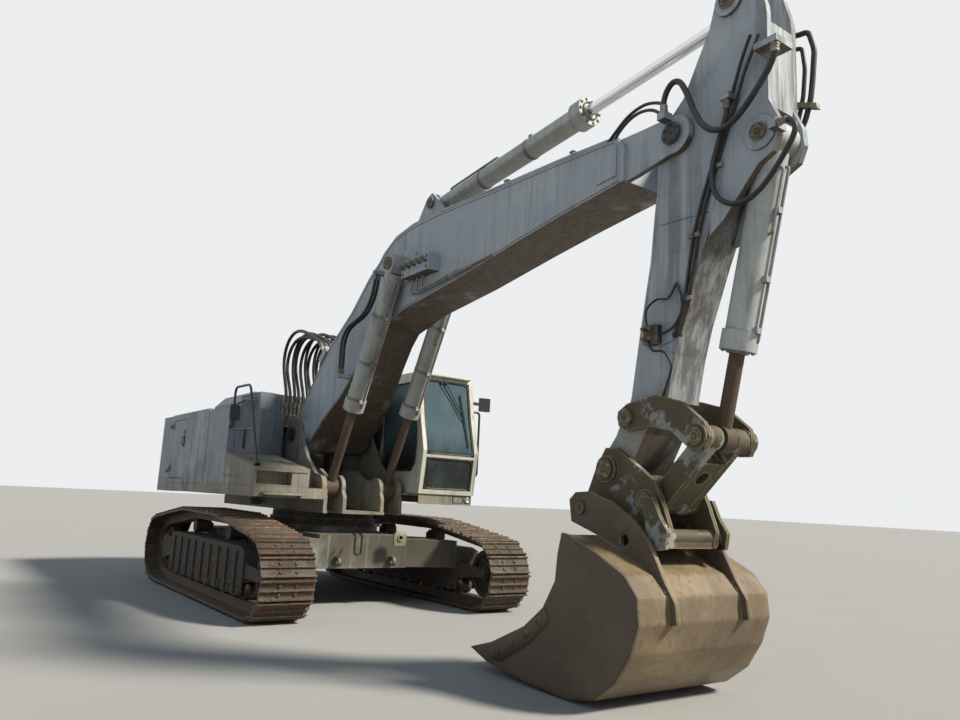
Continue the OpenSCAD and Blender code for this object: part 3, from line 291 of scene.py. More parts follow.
def bucket_steel():
    """Worn bucket: brown-grey steel, polished by digging on the back and lip, sides darker as dull steel and
    painted shade, pale dried slurry on the sides.
    """
    f = Finish("bucket_steel", linear(106, 92, 72))
    fine = f.noise(18, 8, 0.72)
    scratch = f.noise(1, 6, 0.7, squeeze=(2.2, 60, 2.2))
    sides = (f.normal("Y") * f.normal("Y")).rise(0.5, 0.9)
    f.coat(linear(142, 124, 94), f.noise(1.9, 7, 0.66).rise(0.38, 0.66))
    f.coat(linear(92, 70, 54), fine.rise(0.52, 0.7) * 0.8)
    f.coat(linear(172, 158, 136), scratch.rise(0.56, 0.7) * 0.35)
    # Sides darker: dull side plates, and painted shade of the sides that face away from the light.
    f.coat(linear(72, 62, 52), sides * 0.75)
    slurry = f.noise(2.6, 8, 0.7, shift=(5, 2, 2)).rise(0.47, 0.62) * sides
    f.coat(linear(110, 98, 84), slurry * 0.45)
    arcs = f.noise(1, 6, 0.7, squeeze=(5, 3, 40), shift=(3, 3, 3)).rise(0.54, 0.7)
    f.coat(linear(48, 42, 38), arcs * sides * 0.35)
    f.coat(RUST, f.noise(6.5, 8, 0.72, shift=(1, 8, 6)).rise(0.58, 0.66) * 0.55)
    belly = f.axis("Z").rise(0.55, 0.12) * (1 - sides)
    f.coat(linear(120, 102, 76), belly * fine.rise(0.25, 0.6) * 0.5)
    edge = f.edges(0.012, 0.06) * fine.rise(0.32, 0.55)
    f.coat(linear(204, 190, 164), edge * 0.7)
    return f.done(fine * 0.6 + scratch * 0.5 + slurry * 0.7, 0.0022, 0.7, rounding=0.05,
                  Roughness=0.62 - belly * 0.22 - edge * 0.2 + slurry * 0.2, Metallic=belly * 0.35 + edge * 0.3)


def rod_steel(name, tint, roughness, dull=0):
    """Turned rod: bright metal with fine scratches, and brown film where it has dulled."""
    f = Finish(name, (*tint, 1), roughness, 1)
    fine = f.noise(30, 6, 0.7)
    film = f.noise(3, 7, 0.7).rise(0.44 - 0.3 * dull, 0.66 - 0.2 * dull) * dull
    f.coat(linear(80, 64, 50), film)
    return f.done(fine, 0.0004, 0.4, Roughness=roughness + film * 0.3 + fine * 0.06, Metallic=1 - film * 0.8)


def rubber(name, tint=BLACK, roughness=0.5, dust=0.45):
    """Hose and seal rubber: near black, greyed by dust where it faces up, with a cloth-like fine grain."""
    f = Finish(name, tint, roughness)
    f.coat(linear(58, 54, 50), f.noise(9, 5, 0.6).rise(0.5, 0.7) * 0.5)
    dusty = f.normal("Z").rise(0.2, 0.95) * f.noise(6, 5, 0.6).rise(0.4, 0.66)
    f.coat(linear(94, 88, 78), dusty * dust)
    return f.done(f.noise(40, 5, 0.65), 0.0008, 0.5, Roughness=roughness + dusty * 0.25)


def pane():
    """Cab glass: pale blue-grey above, a painted reflection of the sky, and dark below; see-through, with a film of
    dust that runs down.
    """
    f = Finish("cab_glass_pane", linear(38, 44, 42), 0.06, IOR=1.5, Specular_IOR_Level=0.3)
    film = f.noise(2.2, 6, 0.65, squeeze=(1, 1, 0.4)).rise(0.4, 0.8)
    # Upper panes: pale blue-grey and less see-through, a painted reflection of the sky.
    high = f.axis("Z").rise(1.75, 2.3)
    f.coat(linear(78, 100, 110), high)
    f.coat(linear(128, 136, 134), film * 0.3)
    f.paint(Base_Color=f.colour, Roughness=0.04 + film * 0.06, Alpha=0.6 + film * 0.15 + high * 0.2)
    return f.material


def cloth():
    """Seat cloth: a plain weave of warp and weft ridges, faded on the crowns."""
    f = Finish("seat_cloth_weave", linear(30, 31, 36), 0.9, Sheen_Weight=0.3)
    warp, weft = (f.node("TexWave", {"bands_direction": way}, {"Vector": f.place, "Scale": 90, "Distortion": 0.6})
                  for way in "XY")
    weave = warp.most(weft)
    f.coat(linear(58, 58, 62), weave * f.noise(3).rise(0.3, 0.7))
    return f.done(weave, 0.001, 0.6)


FINISHES = {}


def keep(name, material, slot=None, nodes=""):
    """Keeps a finish under its name with the slot of the pieces that wear it, and puts it on its nodes."""
    FINISHES[name] = material, slot
    for node in nodes.split():
        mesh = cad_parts[node].data
        mesh.materials.clear()
        mesh.materials.append(material)


# The housings' darker, bluish base is painted shade of the flank, under real runs, rust and moss.
keep("grey_side",
     painted("paint_housing", linear(136, 144, 154), 1, 0.6, splash=1.45, moss=0.25, grime=0.55), "grey_paint",
     "counterweight lifting_eyes right_housing left_housing engine_hood right_door left_door fuel_tank "
     "air_intake")
keep("boom", painted("paint_boom", PAINT, 0.42, 0.4, under=0.97, grime=0.3), "grey_paint", "boom boom_pipes")
keep("stick", painted("paint_stick", PAINT, 0.55, 0.5, splash=2.1, under=0.95, moss=0.15, grime=0.45, front=0.75),
     "grey_paint", "stick")
keep("barrel", painted("paint_barrel", linear(180, 184, 182), under=0.5, moss=0.18, grime=0.3),
     nodes="boom_barrels stick_barrel tool_barrel")
keep("cab", painted("paint_cab", linear(196, 194, 180), 0.6, 0.4, splash=1, under=0.7, moss=0.12, grime=0.25),
     "grey_paint", "cab_shell cab_door")
keep("deck", painted("paint_deck", linear(126, 126, 118), 1, 0.8, splash=1.6, moss=0.4, grime=0.7), "grey_paint",
     "upper_frame step_box")
keep("small", painted("paint_small_parts", linear(142, 144, 142), 0.8, 0.6, reach=0.006), "grey_paint",
     "work_lamp")
keep("ochre", painted("paint_ochre", linear(138, 128, 100), 1, 0.8, moss=0.3, reach=0.006, grime=0.8),
     "grey_paint")
keep("frame", earthy("mud_on_frame", linear(56, 52, 46), 0.25, 0.45, lit=linear(120, 104, 84)), "dark_paint",
     "track_frames")
keep("centre", painted("paint_centre", linear(84, 78, 66), 1, 0.7, moss=0.45, grime=1), nodes="centre_frame")
keep("track", earthy("rusty_track", linear(70, 60, 50), 0.45, 0.5, 0.62, 0.01, linear(170, 138, 100)),
     "rusty_steel", "track_right track_left")
keep("wheels", earthy("dark_wheels", linear(42, 38, 34), 0.35, 0.4), "cast_wheels",
     "idlers sprockets track_rollers")
keep("ring", greasy("greasy_ring", linear(34, 31, 28), 0.1, 0), nodes="slew_ring")
keep("linkage", greasy("greasy_linkage", linear(86, 78, 58), 0.75, 0.45), "greasy_steel",
     "rocker_links tool_link coupler")
keep("cast", greasy("oily_castings", linear(52, 48, 42), 0.15, 0.1), "greasy_steel", "valve_bank")
keep("bucket", bucket_steel(), "rusty_steel", "bucket")
keep("chrome", rod_steel("chromed_rod", (0.8, 0.81, 0.82), 0.12), nodes="stick_rod")
keep("steel", rod_steel("plain_steel", (0.42, 0.4, 0.37), 0.38, 0.7), "bare_steel")
keep("dull_rod", rod_steel("dulled_rod", (0.26, 0.21, 0.17), 0.42, 0.95), nodes="boom_rods tool_rod")
keep("mirror", rod_steel("mirror_glass", (0.72, 0.76, 0.8), 0.05, 0.1), "chrome_rod")
keep("rubber", rubber("hose_rubber"), "hose_rubber", "boom_hoses crowd_hoses stick_hoses")
keep("black", rubber("black_plastic", linear(30, 30, 32), 0.45, 0.6), "black_plastic",
     "console handrails mirrors")
keep("glass", pane(), nodes="cab_glass door_glass")
keep("lens", rod_steel("lamp_lens", (0.62, 0.64, 0.62), 0.16, 0.3), "cab_panes")
keep("cloth", cloth(), "seat_cloth", "seat")
keep("pipe", earthy("rusty_pipe", linear(92, 66, 50), 0.9, 0.1, lumps=0.002), "rusty_steel", "exhaust_pipe")
keep("engine", earthy("engine_block_steel", linear(70, 70, 68), 0.1, 0.1), nodes="engine_block")


# Surfaces
def unit(v):
    """v / |v| along the last axis."""
    v = np.asarray(v, float)
    return v / np.maximum(np.linalg.norm(v, axis=-1, keepdims=True), 1e-12)


def gone(path):
    """Arc length from the start of a path to each of its points."""
    return np.r_[0, np.cumsum(np.linalg.norm(np.diff(path, axis=0), axis=1))]


def even(path, step):
    """The path resampled by arc length: P(s) by linear interpolation at s = 0, step, 2 step, ... to its end."""
    s = gone(path)
    at = np.linspace(0, s[-1], max(2, int(round(s[-1] / step)) + 1))
    return np.stack([np.interp(at, s, path[:, k]) for k in range(3)], axis=1)


def curve(points, step=0.02):
    """Catmull-Rom: P(t) = (2b + (c-a)t + (2a-5b+4c-d)t^2 + (3b-a-3c+d)t^3) / 2 through every point, then even."""
    p = np.asarray(points, float)
    p = np.vstack([2 * p[0] - p[1], p, 2 * p[-1] - p[-2]])
    t = np.linspace(0, 1, 14, endpoint=False)[None, :, None]
    a, b, c, d = (p[i:len(p) - 3 + i, None, :] for i in range(4))
    run = 0.5 * (2 * b + (c - a) * t + (2 * a - 5 * b + 4 * c - d) * t ** 2 + (3 * b - a - 3 * c + d) * t ** 3)
    return even(np.vstack([run.reshape(-1, 3), p[-2]]), step)


def bent(points, radius, steps=6):
    """Straight runs with arcs for corners: B(t) = (1-t)^2 p + 2t(1-t) c + t^2 q, p and q being radius from c."""
    p = np.asarray(points, float)
    before, after = unit(p[:-2] - p[1:-1]), unit(p[2:] - p[1:-1])
    t = np.linspace(0, 1, steps + 1)[None, :, None]
    c = p[1:-1, None]
    start, end = c + radius * before[:, None], c + radius * after[:, None]
    arcs = (1 - t) ** 2 * start + 2 * t * (1 - t) * c + t ** 2 * end
    return np.vstack([p[:1], arcs.reshape(-1, 3), p[-1:]])


def lift(points, at, flat="y"):
    """Points of two numbers put into space: the axis named flat gets the number at."""
    return np.insert(np.asarray(points, float), "xyz".index(flat), at, axis=1)


def quads(rows, sides, wrap=False):
    """Faces (i,k) (i,k+1) (i+1,k+1) (i+1,k): round each row of sides points, and round the rows too if wrap."""
    i, k = np.mgrid[0:rows if wrap else rows - 1, 0:sides]
    j, n = (i + 1) % rows, (k + 1) % sides
    return np.stack([i * sides + k, i * sides + n, j * sides + n, j * sides + k], axis=-1).reshape(-1, 4).tolist()


def skin(rings):
    """Closed surface over rings of points: their quads, and a cap at each end."""
    rows, sides = rings.shape[:2]
    caps = [list(range(sides - 1, -1, -1)), list(range((rows - 1) * sides, rows * sides))]
    return rings.reshape(-1, 3), quads(rows, sides) + caps


def circle(u, v, count, phase=0):
    """Points of the unit circle on u and v: cos a U + sin a V, a = phase + 2 pi k / count."""
    a = phase + np.arange(count)[:, None] * 2 * np.pi / count
    return np.cos(a) * u + np.sin(a) * v


def across(axis):
    """A along an axis, and U and V across it, with U x V = A."""
    a = unit(axis)
    u = unit(np.cross(a, UP if abs(a[2]) < 0.9 else FRONT))
    return a, u, np.cross(a, u)


def sweep(path, radius, sides=10):
    """Tube: v = P + r (cos a N + sin a B), with N carried along the path and B = T x N."""
    path = np.asarray(path, float)
    t = unit(np.gradient(path, axis=0))
    normals = [unit(np.cross(t[0], LEFT if abs(t[0][1]) < 0.9 else FRONT))]
    for way in t[1:]:
        normals.append(unit(normals[-1] - way * np.dot(normals[-1], way)))
    n = np.array(normals)
    r = np.broadcast_to(np.asarray(radius, float), len(path))[:, None, None]
    return skin(path[:, None] + r * circle(n[:, None], np.cross(t, n)[:, None], sides))


def pipe(points, bend, radius, sides=10):
    """Tube along straight runs with bent corners."""
    return sweep(bent(points, bend), radius, sides)


def sweep_round(loop, radius, sides=8):
    """Tube round a loop of points, back to the first of them."""
    return sweep(np.vstack([loop, loop[:1]]), radius, sides)


def lathe(profile, centre, axis, sides=16):
    """Turned form: v = C + h A + r (cos a U + sin a V) for each (h, r) of the profile."""
    a, u, v = across(axis)
    h, r = np.asarray(profile, float).T
    return skin(np.asarray(centre, float) + h[:, None, None] * a + r[:, None, None] * circle(u, v, sides))


def hoop(profile, centre, axis, sides=32):
    """Ring turned from a closed profile, hollow in the middle: lathe's points, with quads that wrap both ways."""
    return lathe(profile, centre, axis, sides)[0], quads(len(profile), sides, wrap=True)


def prism(outline, lo, hi, flat="y"):
    """Outline pushed from lo to hi along the axis named flat; its two numbers are the other axes in order."""
    return skin(np.stack([lift(outline, lo, flat), lift(outline, hi, flat)]))


def both(outline, inner, outer):
    """The outline in x and z pushed from inner to outer distance from the middle plane, right and left."""
    return [prism(outline, *sorted((s * inner, s * outer))) for s in SIDES]


def plate(lo, hi):
    """Box from its low corner to its high corner, for make() to bevel."""
    return prism([(lo[0], lo[1]), (hi[0], lo[1]), (hi[0], hi[1]), (lo[0], hi[1])], lo[2], hi[2], "z")


def around(centre, axis, radius, count, phase=0):
    """Points on a circle about an axis."""
    return np.asarray(centre, float) + radius * circle(*across(axis)[1:], count, phase)


def bolts(centres, axis, size=0.015, washer=True):
    """Hex heads, size from the centre to a corner, on round washers."""
    made = []
    for c in np.atleast_2d(centres):
        if washer:
            made.append(lathe([(0, 1.45 * size), (0.22 * size, 1.45 * size)], c, axis, 12))
        made.append(lathe([(0, size), (0.75 * size, size), (0.95 * size, 0.8 * size)], c, axis, 6))
    return made


def rounded(x0, x1, y0, y1, r, steps=4):
    """Rectangle whose corners are quarter circles: C + r (cos a, sin a)."""
    made = []
    for turn, (cx, cy) in enumerate(((x1 - r, y0 + r), (x1 - r, y1 - r), (x0 + r, y1 - r), (x0 + r, y0 + r))):
        a = np.radians(90 * (turn - 1) + np.linspace(0, 90, steps + 1))
        made.append(np.stack([cx + r * np.cos(a), cy + r * np.sin(a)], axis=1))
    return np.vstack(made)


SHARP = math.radians(30)


def make(name, parts, finish, body=None, bevel=0, angle=38):
    """One object from (points, faces) parts: faces outwards, sharp edges bevelled, and smooth below the angle."""
    points, faces = [], []
    for verts, polys in parts:
        faces.extend([[len(points) + i for i in poly] for poly in polys])
        points.extend(map(tuple, verts))
    mesh = bpy.data.meshes.new(name)
    mesh.from_pydata(points, [], faces)
    work = bmesh.new()
    work.from_mesh(mesh)
    bmesh.ops.recalc_face_normals(work, faces=work.faces)
    if bevel:
        sharp = [e for e in work.edges if len(e.link_faces) == 2 and e.calc_face_angle() > SHARP]
        bmesh.ops.bevel(work, geom=sharp, offset=bevel, segments=2, affect="EDGES", profile=0.5)
    work.to_mesh(mesh)
    work.free()
    mesh.shade_smooth()
    mesh.set_sharp_from_angle(angle=math.radians(angle))
    material, slot = FINISHES[finish]
    mesh.materials.append(material)
    obj = show(name, mesh)
    if body:
        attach(obj, body)
    return obj


# Hoses, each between two fittings
CRIMP = [(0, 1.12), (0.008, 1.3), (0.018, 1.3), (0.021, 1.18), (0.026, 1.18), (0.029, 1.3), (0.04, 1.3),
         (0.043, 1.18), (0.048, 1.18), (0.051, 1.3), (0.064, 1.3), (0.07, 1.04)]
NUT = [(-0.004, 1.3), (0, 1.46), (0.02, 1.46), (0.024, 1.3)]
FERRULES = {}
HOSE_STEP = 0.022
HOSE, SLIM_HOSE, TOOL_HOSE = 0.024, 0.019, 0.02


def ferrule(at, way, radius):
    """Crimped steel end of a hose: a collar with grooves, then a hex nut towards the fitting. The profiles give
    metres along the hose and shares of its radius."""
    return [lathe([(h, r * radius) for h, r in profile], at, way, sides)
            for profile, sides in ((CRIMP, 14), (NUT, 6))]


def lay_hose(name, route, y, radius, node, ends):
    """A hose on a route of (x, z) in the plane y between two bodies, with its ferrules."""
    near, far = ends
    points = lift(route, y)
    path = curve(points, HOSE_STEP)
    obj = make(name, [sweep(path, radius, 12)], "rubber", near if near == far else None, angle=80)
    if near != far:
        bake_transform(obj)
    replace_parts(obj, node)
    for tag, body, at, onward in (("near", near, points[0], points[1]), ("far", far, points[-1], points[-2])):
        FERRULES.setdefault((node, tag, body), []).extend(ferrule(at, onward - at, radius))


OUT = np.array([-0.68, 0.733])
ALONG = np.array([0.733, 0.68])
BOOM_PORT = np.array([0.46, 3.09]) + 0.14 * ALONG + 0.25 * OUT
BUNDLE = np.array([
    (-0.75, 2.6), (-0.75, 2.69), (-0.775, 2.81), (-0.83, 2.93), (-0.9, 3.06), (-0.955, 3.19), (-0.975, 3.32),
    (-0.945, 3.45), (-0.865, 3.56), (-0.745, 3.635), (-0.6, 3.67), (-0.44, 3.67), (-0.28, 3.642),
    (-0.12, 3.6), (0.03, 3.554), (0.15, 3.512), (0.255, 3.466), BOOM_PORT + 0.05 * OUT, BOOM_PORT])
SIDE_LOOP = [
    (2.05, 4.04), (2.05, 3.96), (2.025, 3.85), (1.97, 3.74), (1.88, 3.64), (1.76, 3.57), (1.62, 3.53),
    (1.48, 3.5), (1.36, 3.45), (1.28, 3.37), (1.24, 3.27), (1.235, 3.16), (1.24, 3.05), (1.24, 2.97),
    (1.24, 2.89)]
CROWD = [
    (6.43, 4.49), (6.43, 4.585), (6.46, 4.665), (6.52, 4.715), (6.59, 4.69), (6.645, 4.6), (6.69, 4.49),
    (6.745, 4.36), (6.815, 4.245), (6.905, 4.17), (7.01, 4.15), (7.11, 4.19), (7.205, 4.265), (7.29, 4.35),
    (7.36, 4.43), (7.405, 4.5), (7.43, 4.565), (7.43, 4.62)]
TOOL = [
    (6.98, 4.4), (6.975, 4.31), (6.94, 4.19), (6.89, 4.06), (6.85, 3.93), (6.845, 3.8), (6.88, 3.69),
    (6.955, 3.61), (7.055, 3.57), (7.16, 3.575), (7.26, 3.625), (7.35, 3.705), (7.43, 3.8), (7.5, 3.895),
    (7.53, 3.975), (7.505, 4.035), (7.45, 4.06), (7.4, 4.06)]

slack = np.sin(np.linspace(0, math.pi, len(BUNDLE))) ** 2
for k in range(13):
    sway = np.outer(slack, (-0.045 * math.sin(2.4 * k), 0.05 * math.cos(3.7 * k)))
    lay_hose(f"boom_hose_{k + 1}", BUNDLE + sway, -0.405 + 0.0675 * k, HOSE, "boom_hoses", ("upper", "boom"))
for k in range(2):
    lay_hose(f"side_loop_hose_{k + 1}", SIDE_LOOP, -0.465 - 0.045 * k, SLIM_HOSE, "boom_hoses", ("boom", "boom"))
lay_hose("crowd_hose", CROWD, -0.3, HOSE, "crowd_hoses", ("boom", "stick"))
lay_hose("tool_hose", TOOL, -0.235, TOOL_HOSE, "stick_hoses", ("stick", "stick"))
for (node, tag, body), parts in FERRULES.items():
    make(f"{node}_ferrules_{tag}_{body}", parts, "steel", body)


# Handrails and mirrors
def rails():
    """Round tubes over the plain bars: the loop by the tank, the cab's grab rail and the tank's roof rail."""
    y = -1.463
    loop = lift([(1.22, 1.68), (0.73, 2.68), (0.168, 2.69), (0.168, 2.14), (1.006, 2.105)], y)
    parts = [pipe(loop, 0.09, 0.016, 12),
             lathe([(0, 0.04), (0.008, 0.04), (0.01, 0.018), (0.05, 0.017)], (1.235, y, 1.672), (-0.44, 0, 0.9))]
    for z in (2.175, 2.405):
        parts.append(lathe([(0, 0.03), (0.006, 0.03), (0.007, 0.012), (0.022, 0.012)], (0.15, y, z), FRONT, 12))
    x, foot, out, low, high = 1.346, 1.52, 1.649, 1.706, 2.596
    grab = lift([(foot, low), (out, low), (out, high), (foot, high)], x, "x")
    parts.append(pipe(grab, 0.05, 0.0155, 12))
    for z in (low, high):
        parts.append(lathe([(0, 0.034), (0.007, 0.034), (0.009, 0.0155)], (x, foot, z), LEFT, 14))
    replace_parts(make("round_handrails", parts, "black", "upper"), "handrails")
    y, roof = -1.15, 2.44
    rail = lift([(-0.68, roof), (-0.66, 2.565), (-0.3, 2.605), (0.02, 2.56), (0.09, roof)], y)
    feet = [lathe([(0, 0.032), (0.007, 0.032)], (x, y, roof), UP, 14) for x in (-0.68, 0.09)]
    make("tank_roof_rail", [pipe(rail, 0.05, 0.014, 10)] + feet, "black", "upper", angle=60)


def mirrors():
    """Silvered glass on the rear of both mirrors, in a black rim."""
    glass, rims = [], []
    for x, y0, y1, z0, z1 in ((0.185, -1.52, -1.39, 2.26, 2.45), (1.33, 1.644, 1.796, 2.624, 2.806)):
        glass.append(prism(rounded(y0 + 0.01, y1 - 0.01, z0 + 0.01, z1 - 0.01, 0.018), x - 0.003, x + 0.004, "x"))
        rim = rounded(y0 + 0.004, y1 - 0.004, z0 + 0.004, z1 - 0.004, 0.022)
        rims.append(sweep_round(lift(rim, x - 0.002, "x"), 0.006, 6))
    make("mirror_glasses", glass, "mirror", "upper")
    make("mirror_rims", rims, "black", "upper", angle=60)


rails()
mirrors()


# Seat
SEAT_Y = 1.08


def cushion(name, x, z, half, turn, crown, seams):
    """Pillow: |x/a|^4 + |y/b|^4 + |z/c|^2.5 = 1, crowned by (1-u^2)(1-v^2) and pulled in along its seams."""
    rows, sides, pole = 44, 72, 0.02
    lat = np.linspace(-math.pi / 2 + pole, math.pi / 2 - pole, rows)[:, None]
    lon = np.arange(sides)[None, :] * 2 * math.pi / sides

    def curl(value, power):
        return np.sign(value) * np.abs(value) ** power

    u = curl(np.cos(lat), 0.5) * curl(np.cos(lon), 0.5)
    v = curl(np.cos(lat), 0.5) * curl(np.sin(lon), 0.5)
    w = curl(np.sin(lat), 0.8) * np.ones_like(lon)
    top = np.clip(w, 0, 1)
    w = w + top * crown * (1 - u ** 2) * (1 - v ** 2)
    for at in seams:
        w = w - top * 0.16 * np.exp(-((v - at) / 0.035) ** 2)
    piping = 1 + 0.02 * np.exp(-(w / 0.08) ** 2)
    local = np.stack([u * half[0] * piping, v * half[1] * piping, w * half[2]], axis=-1)
    c, s = math.cos(turn), math.sin(turn)
    spin = np.array([[c, 0, s], [0, 1, 0], [-s, 0, c]])
    obj = make(name, [skin(local @ spin.T + np.array([x, SEAT_Y, z]))], "cloth", "upper", angle=75)
    return obj


def seat():
    """Seat of three cushions on a bellows pedestal, in the space of its plain solid."""
    base = cushion("seat_cushion", 0.565, 1.855, (0.245, 0.24, 0.058), 0.03, 0.3, (-0.55, 0.55))
    cushion("seat_back_cushion", 0.315, 2.17, (0.27, 0.228, 0.055), -1.37, 0.35, (-0.5, 0.5))
    cushion("head_cushion", 0.245, 2.452, (0.05, 0.12, 0.04), -1.37, 0.2, ())
    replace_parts(base, "seat")
    folds = []
    for k in range(11):
        half = 0.168 if k % 2 else 0.15
        fold = rounded(-half - 0.03, half + 0.03, -half, half, 0.03) + (0.515, SEAT_Y)
        folds.append(lift(fold, 1.483 + 0.0265 * k, "z"))
    make("seat_bellows", [skin(np.stack(folds))], "rubber", "upper", angle=20)
    make("seat_pan", [plate((0.33, 0.85, 1.752), (0.8, 1.31, 1.8)), plate((0.3, 0.86, 1.8), (0.33, 1.3, 2.02))],
         "black", "upper", bevel=0.012)


seat()

# Cab
DOOR_FACE, WALL_FACE = 1.546, 0.637
BASE_FACE = 1.45


def screen_x(z):
    """x of the windscreens' outer face at height z, by straight lines between the bends of the cab's front."""
    return np.interp(z, [1.43, 2, 2.48, 3.01], [1.448, 1.518, 1.388, 1.288])


def on_glass(y, z, out=0.022):
    """A point in front of the windscreens."""
    return (float(screen_x(z)) + out, y, z)


def screen_seal(z0, z1):
    """Rubber lip round a windscreen: a closed tube on its rounded outline, laid on the face screen_x(z)."""
    line = rounded(0.712, 1.448, z0, z1, 0.05)
    line = even(lift(np.vstack([line, line[:1]]), 0, "x"), 0.06)
    line[:, 0] = screen_x(line[:, 2]) + 0.004
    return sweep(line, 0.013, 8)


def cab_details():
    """Window seals, wiper, frames and lamp of the cab's base, ribs and hood of its roof, and its handle."""
    side = [(0.45, 1.73), (1.25, 1.73), (1.34, 1.83), (1.36, 2.13), (1.23, 2.93), (0.45, 2.93)]
    seals = [screen_seal(1.502, 1.898), screen_seal(1.962, 2.968),
             sweep_round(bent(lift(side + side[:2], WALL_FACE), 0.05)[7:], 0.012)]
    for y in (WALL_FACE, 1.523):
        seals.append(sweep_round(lift(rounded(-0.095, 0.365, 2.035, 2.875, 0.06), y), 0.012))
    seals.append(sweep_round(lift(rounded(0.3, 1, 0.84, 1.32, 0.06), 3.072, "z"), 0.012))
    make("window_seals", seals, "black", "upper", angle=60)

    blade = ((1.3, 2.815), (1.345, 2.48), (1.375, 2.08))
    arms = [sweep([on_glass(1, 2.945, 0.03), on_glass(1.17, 2.7), on_glass(1.335, 2.44)], 0.007, 6),
            sweep([on_glass(1.075, 2.945, 0.03), on_glass(1.225, 2.7), on_glass(1.355, 2.5)], 0.006, 6),
            sweep([on_glass(y, z) for y, z in blade], [0.006, 0.01, 0.006], 6),
            sweep([on_glass(y + 0.002, z, 0.012) for y, z in blade], 0.005, 6)]
    for y in (1, 1.075):
        arms.append(lathe([(0, 0.02), (0.022, 0.02), (0.03, 0.01)], on_glass(y, 2.945, 0), FRONT, 10))
    make("wiper", arms, "black", "upper")

    frames = [rounded(1.2, 1.365, 1.33, 1.412, 0.01), rounded(1.385, 1.49, 1.33, 1.412, 0.02)]
    frames = [sweep_round(lift(line, BASE_FACE + 0.002, "x"), 0.005, 6) for line in frames]
    make("cab_base_frames", frames, "black", "upper", angle=60)
    lamp = [(0, 0.034), (0.01, 0.034), (0.012, 0.028), (0.006, 0.02), (0.004, 0.004)]
    make("cab_base_lamp", [lathe(lamp, (BASE_FACE, 1.437, 1.371), FRONT, 18)], "lens", "upper")
    ribs = [plate((0, y, 3.07), (1.16, y + 0.035, 3.084)) for y in (0.7, 1.425)]
    make("cab_roof_ribs", ribs, "cab", "upper", bevel=0.006)
    at = (0.5925, 2.205)
    handle = [prism(rounded(-0.048, 0.048, -0.055, 0.055, 0.02) + at, DOOR_FACE, DOOR_FACE + 0.0025),
              prism(rounded(-0.03, 0.02, -0.035, 0.035, 0.01) + at, DOOR_FACE, DOOR_FACE + 0.0045)]
    make("cab_door_handle", handle, "black", "cab_door")
    hood = prism([(1.2, 3.03), (1.36, 3.02), (1.37, 3.045), (1.2, 3.078)], 0.7, 1.46)
    make("windscreen_hood", [hood], "cab", "upper", bevel=0.006)


cab_details()

# Pins, caps and bolts. The pins of the arm are given as (x, z).
BOOM_FOOT, BOOM_TIP, STICK_TIP, COUPLER_PIN = (0.02, 2.16), (6.48, 4.31), (5.87, 1.68), (6.27, 1.44)
LIFT_FOOT, LIFT_HEAD = (0.99, 1.45), (2.39, 4.1)
CROWD_FOOT, CROWD_EYE = (2.7, 4.86), (6.97, 5.24)
TOOL_FOOT, ROCKER_PIN, LINK_PIN = (7.22, 4.07), (6.06, 2.08), (6.74, 1.91)


def pin_caps(x, z, y, radius, count):
    """Round keeper at the end of a pin on both sides: a dished disc with a ring of bolts and a grease nipple."""
    made, thick = [], 0.016
    disc = [(0, radius), (thick * 0.7, radius), (thick, radius * 0.92), (thick, radius * 0.6),
            (thick * 0.6, radius * 0.52), (thick * 0.6, radius * 0.1)]
    for s in SIDES:
        out = (0, s, 0)
        made.append(lathe(disc, (x, s * y, z), out, 24))
        ring = around((x, s * (y + thick * 0.9), z), out, radius * 0.76, count, 0.5)
        made += bolts(ring, out, radius * 0.11)
        made.append(lathe([(0, 0.006), (0.014, 0.006), (0.018, 0.003)], (x, s * (y + thick * 0.5), z), out, 6))
    return made


for name, pin, y, radius, count, finish, body in (
        ("boom_foot", BOOM_FOOT, 0.578, 0.095, 4, "black", "upper"),
        ("lift_cylinder_foot", LIFT_FOOT, 0.577, 0.085, 4, "cast", "upper"),
        ("lift_cylinder_head", LIFT_HEAD, 0.5395, 0.078, 4, "cast", "boom"),
        ("crowd_cylinder_foot", CROWD_FOOT, 0.183, 0.072, 3, "cast", "boom"),
        ("boom_tip", BOOM_TIP, 0.269, 0.092, 6, "black", "boom"),
        ("crowd_cylinder_eye", CROWD_EYE, 0.218, 0.07, 3, "cast", "stick"),
        ("tool_cylinder_foot", TOOL_FOOT, 0.21, 0.066, 3, "cast", "stick"),
        ("rocker_pin", ROCKER_PIN, 0.305, 0.068, 3, "linkage", "rocker"),
        ("link_pin", LINK_PIN, 0.305, 0.064, 3, "linkage", "rocker"),
        ("stick_tip", STICK_TIP, 0.329, 0.078, 4, "linkage", "bucket"),
        ("coupler_pin", COUPLER_PIN, 0.307, 0.066, 3, "linkage", "bucket")):
    make(name + "_caps", pin_caps(*pin, y, radius, count), finish, body)


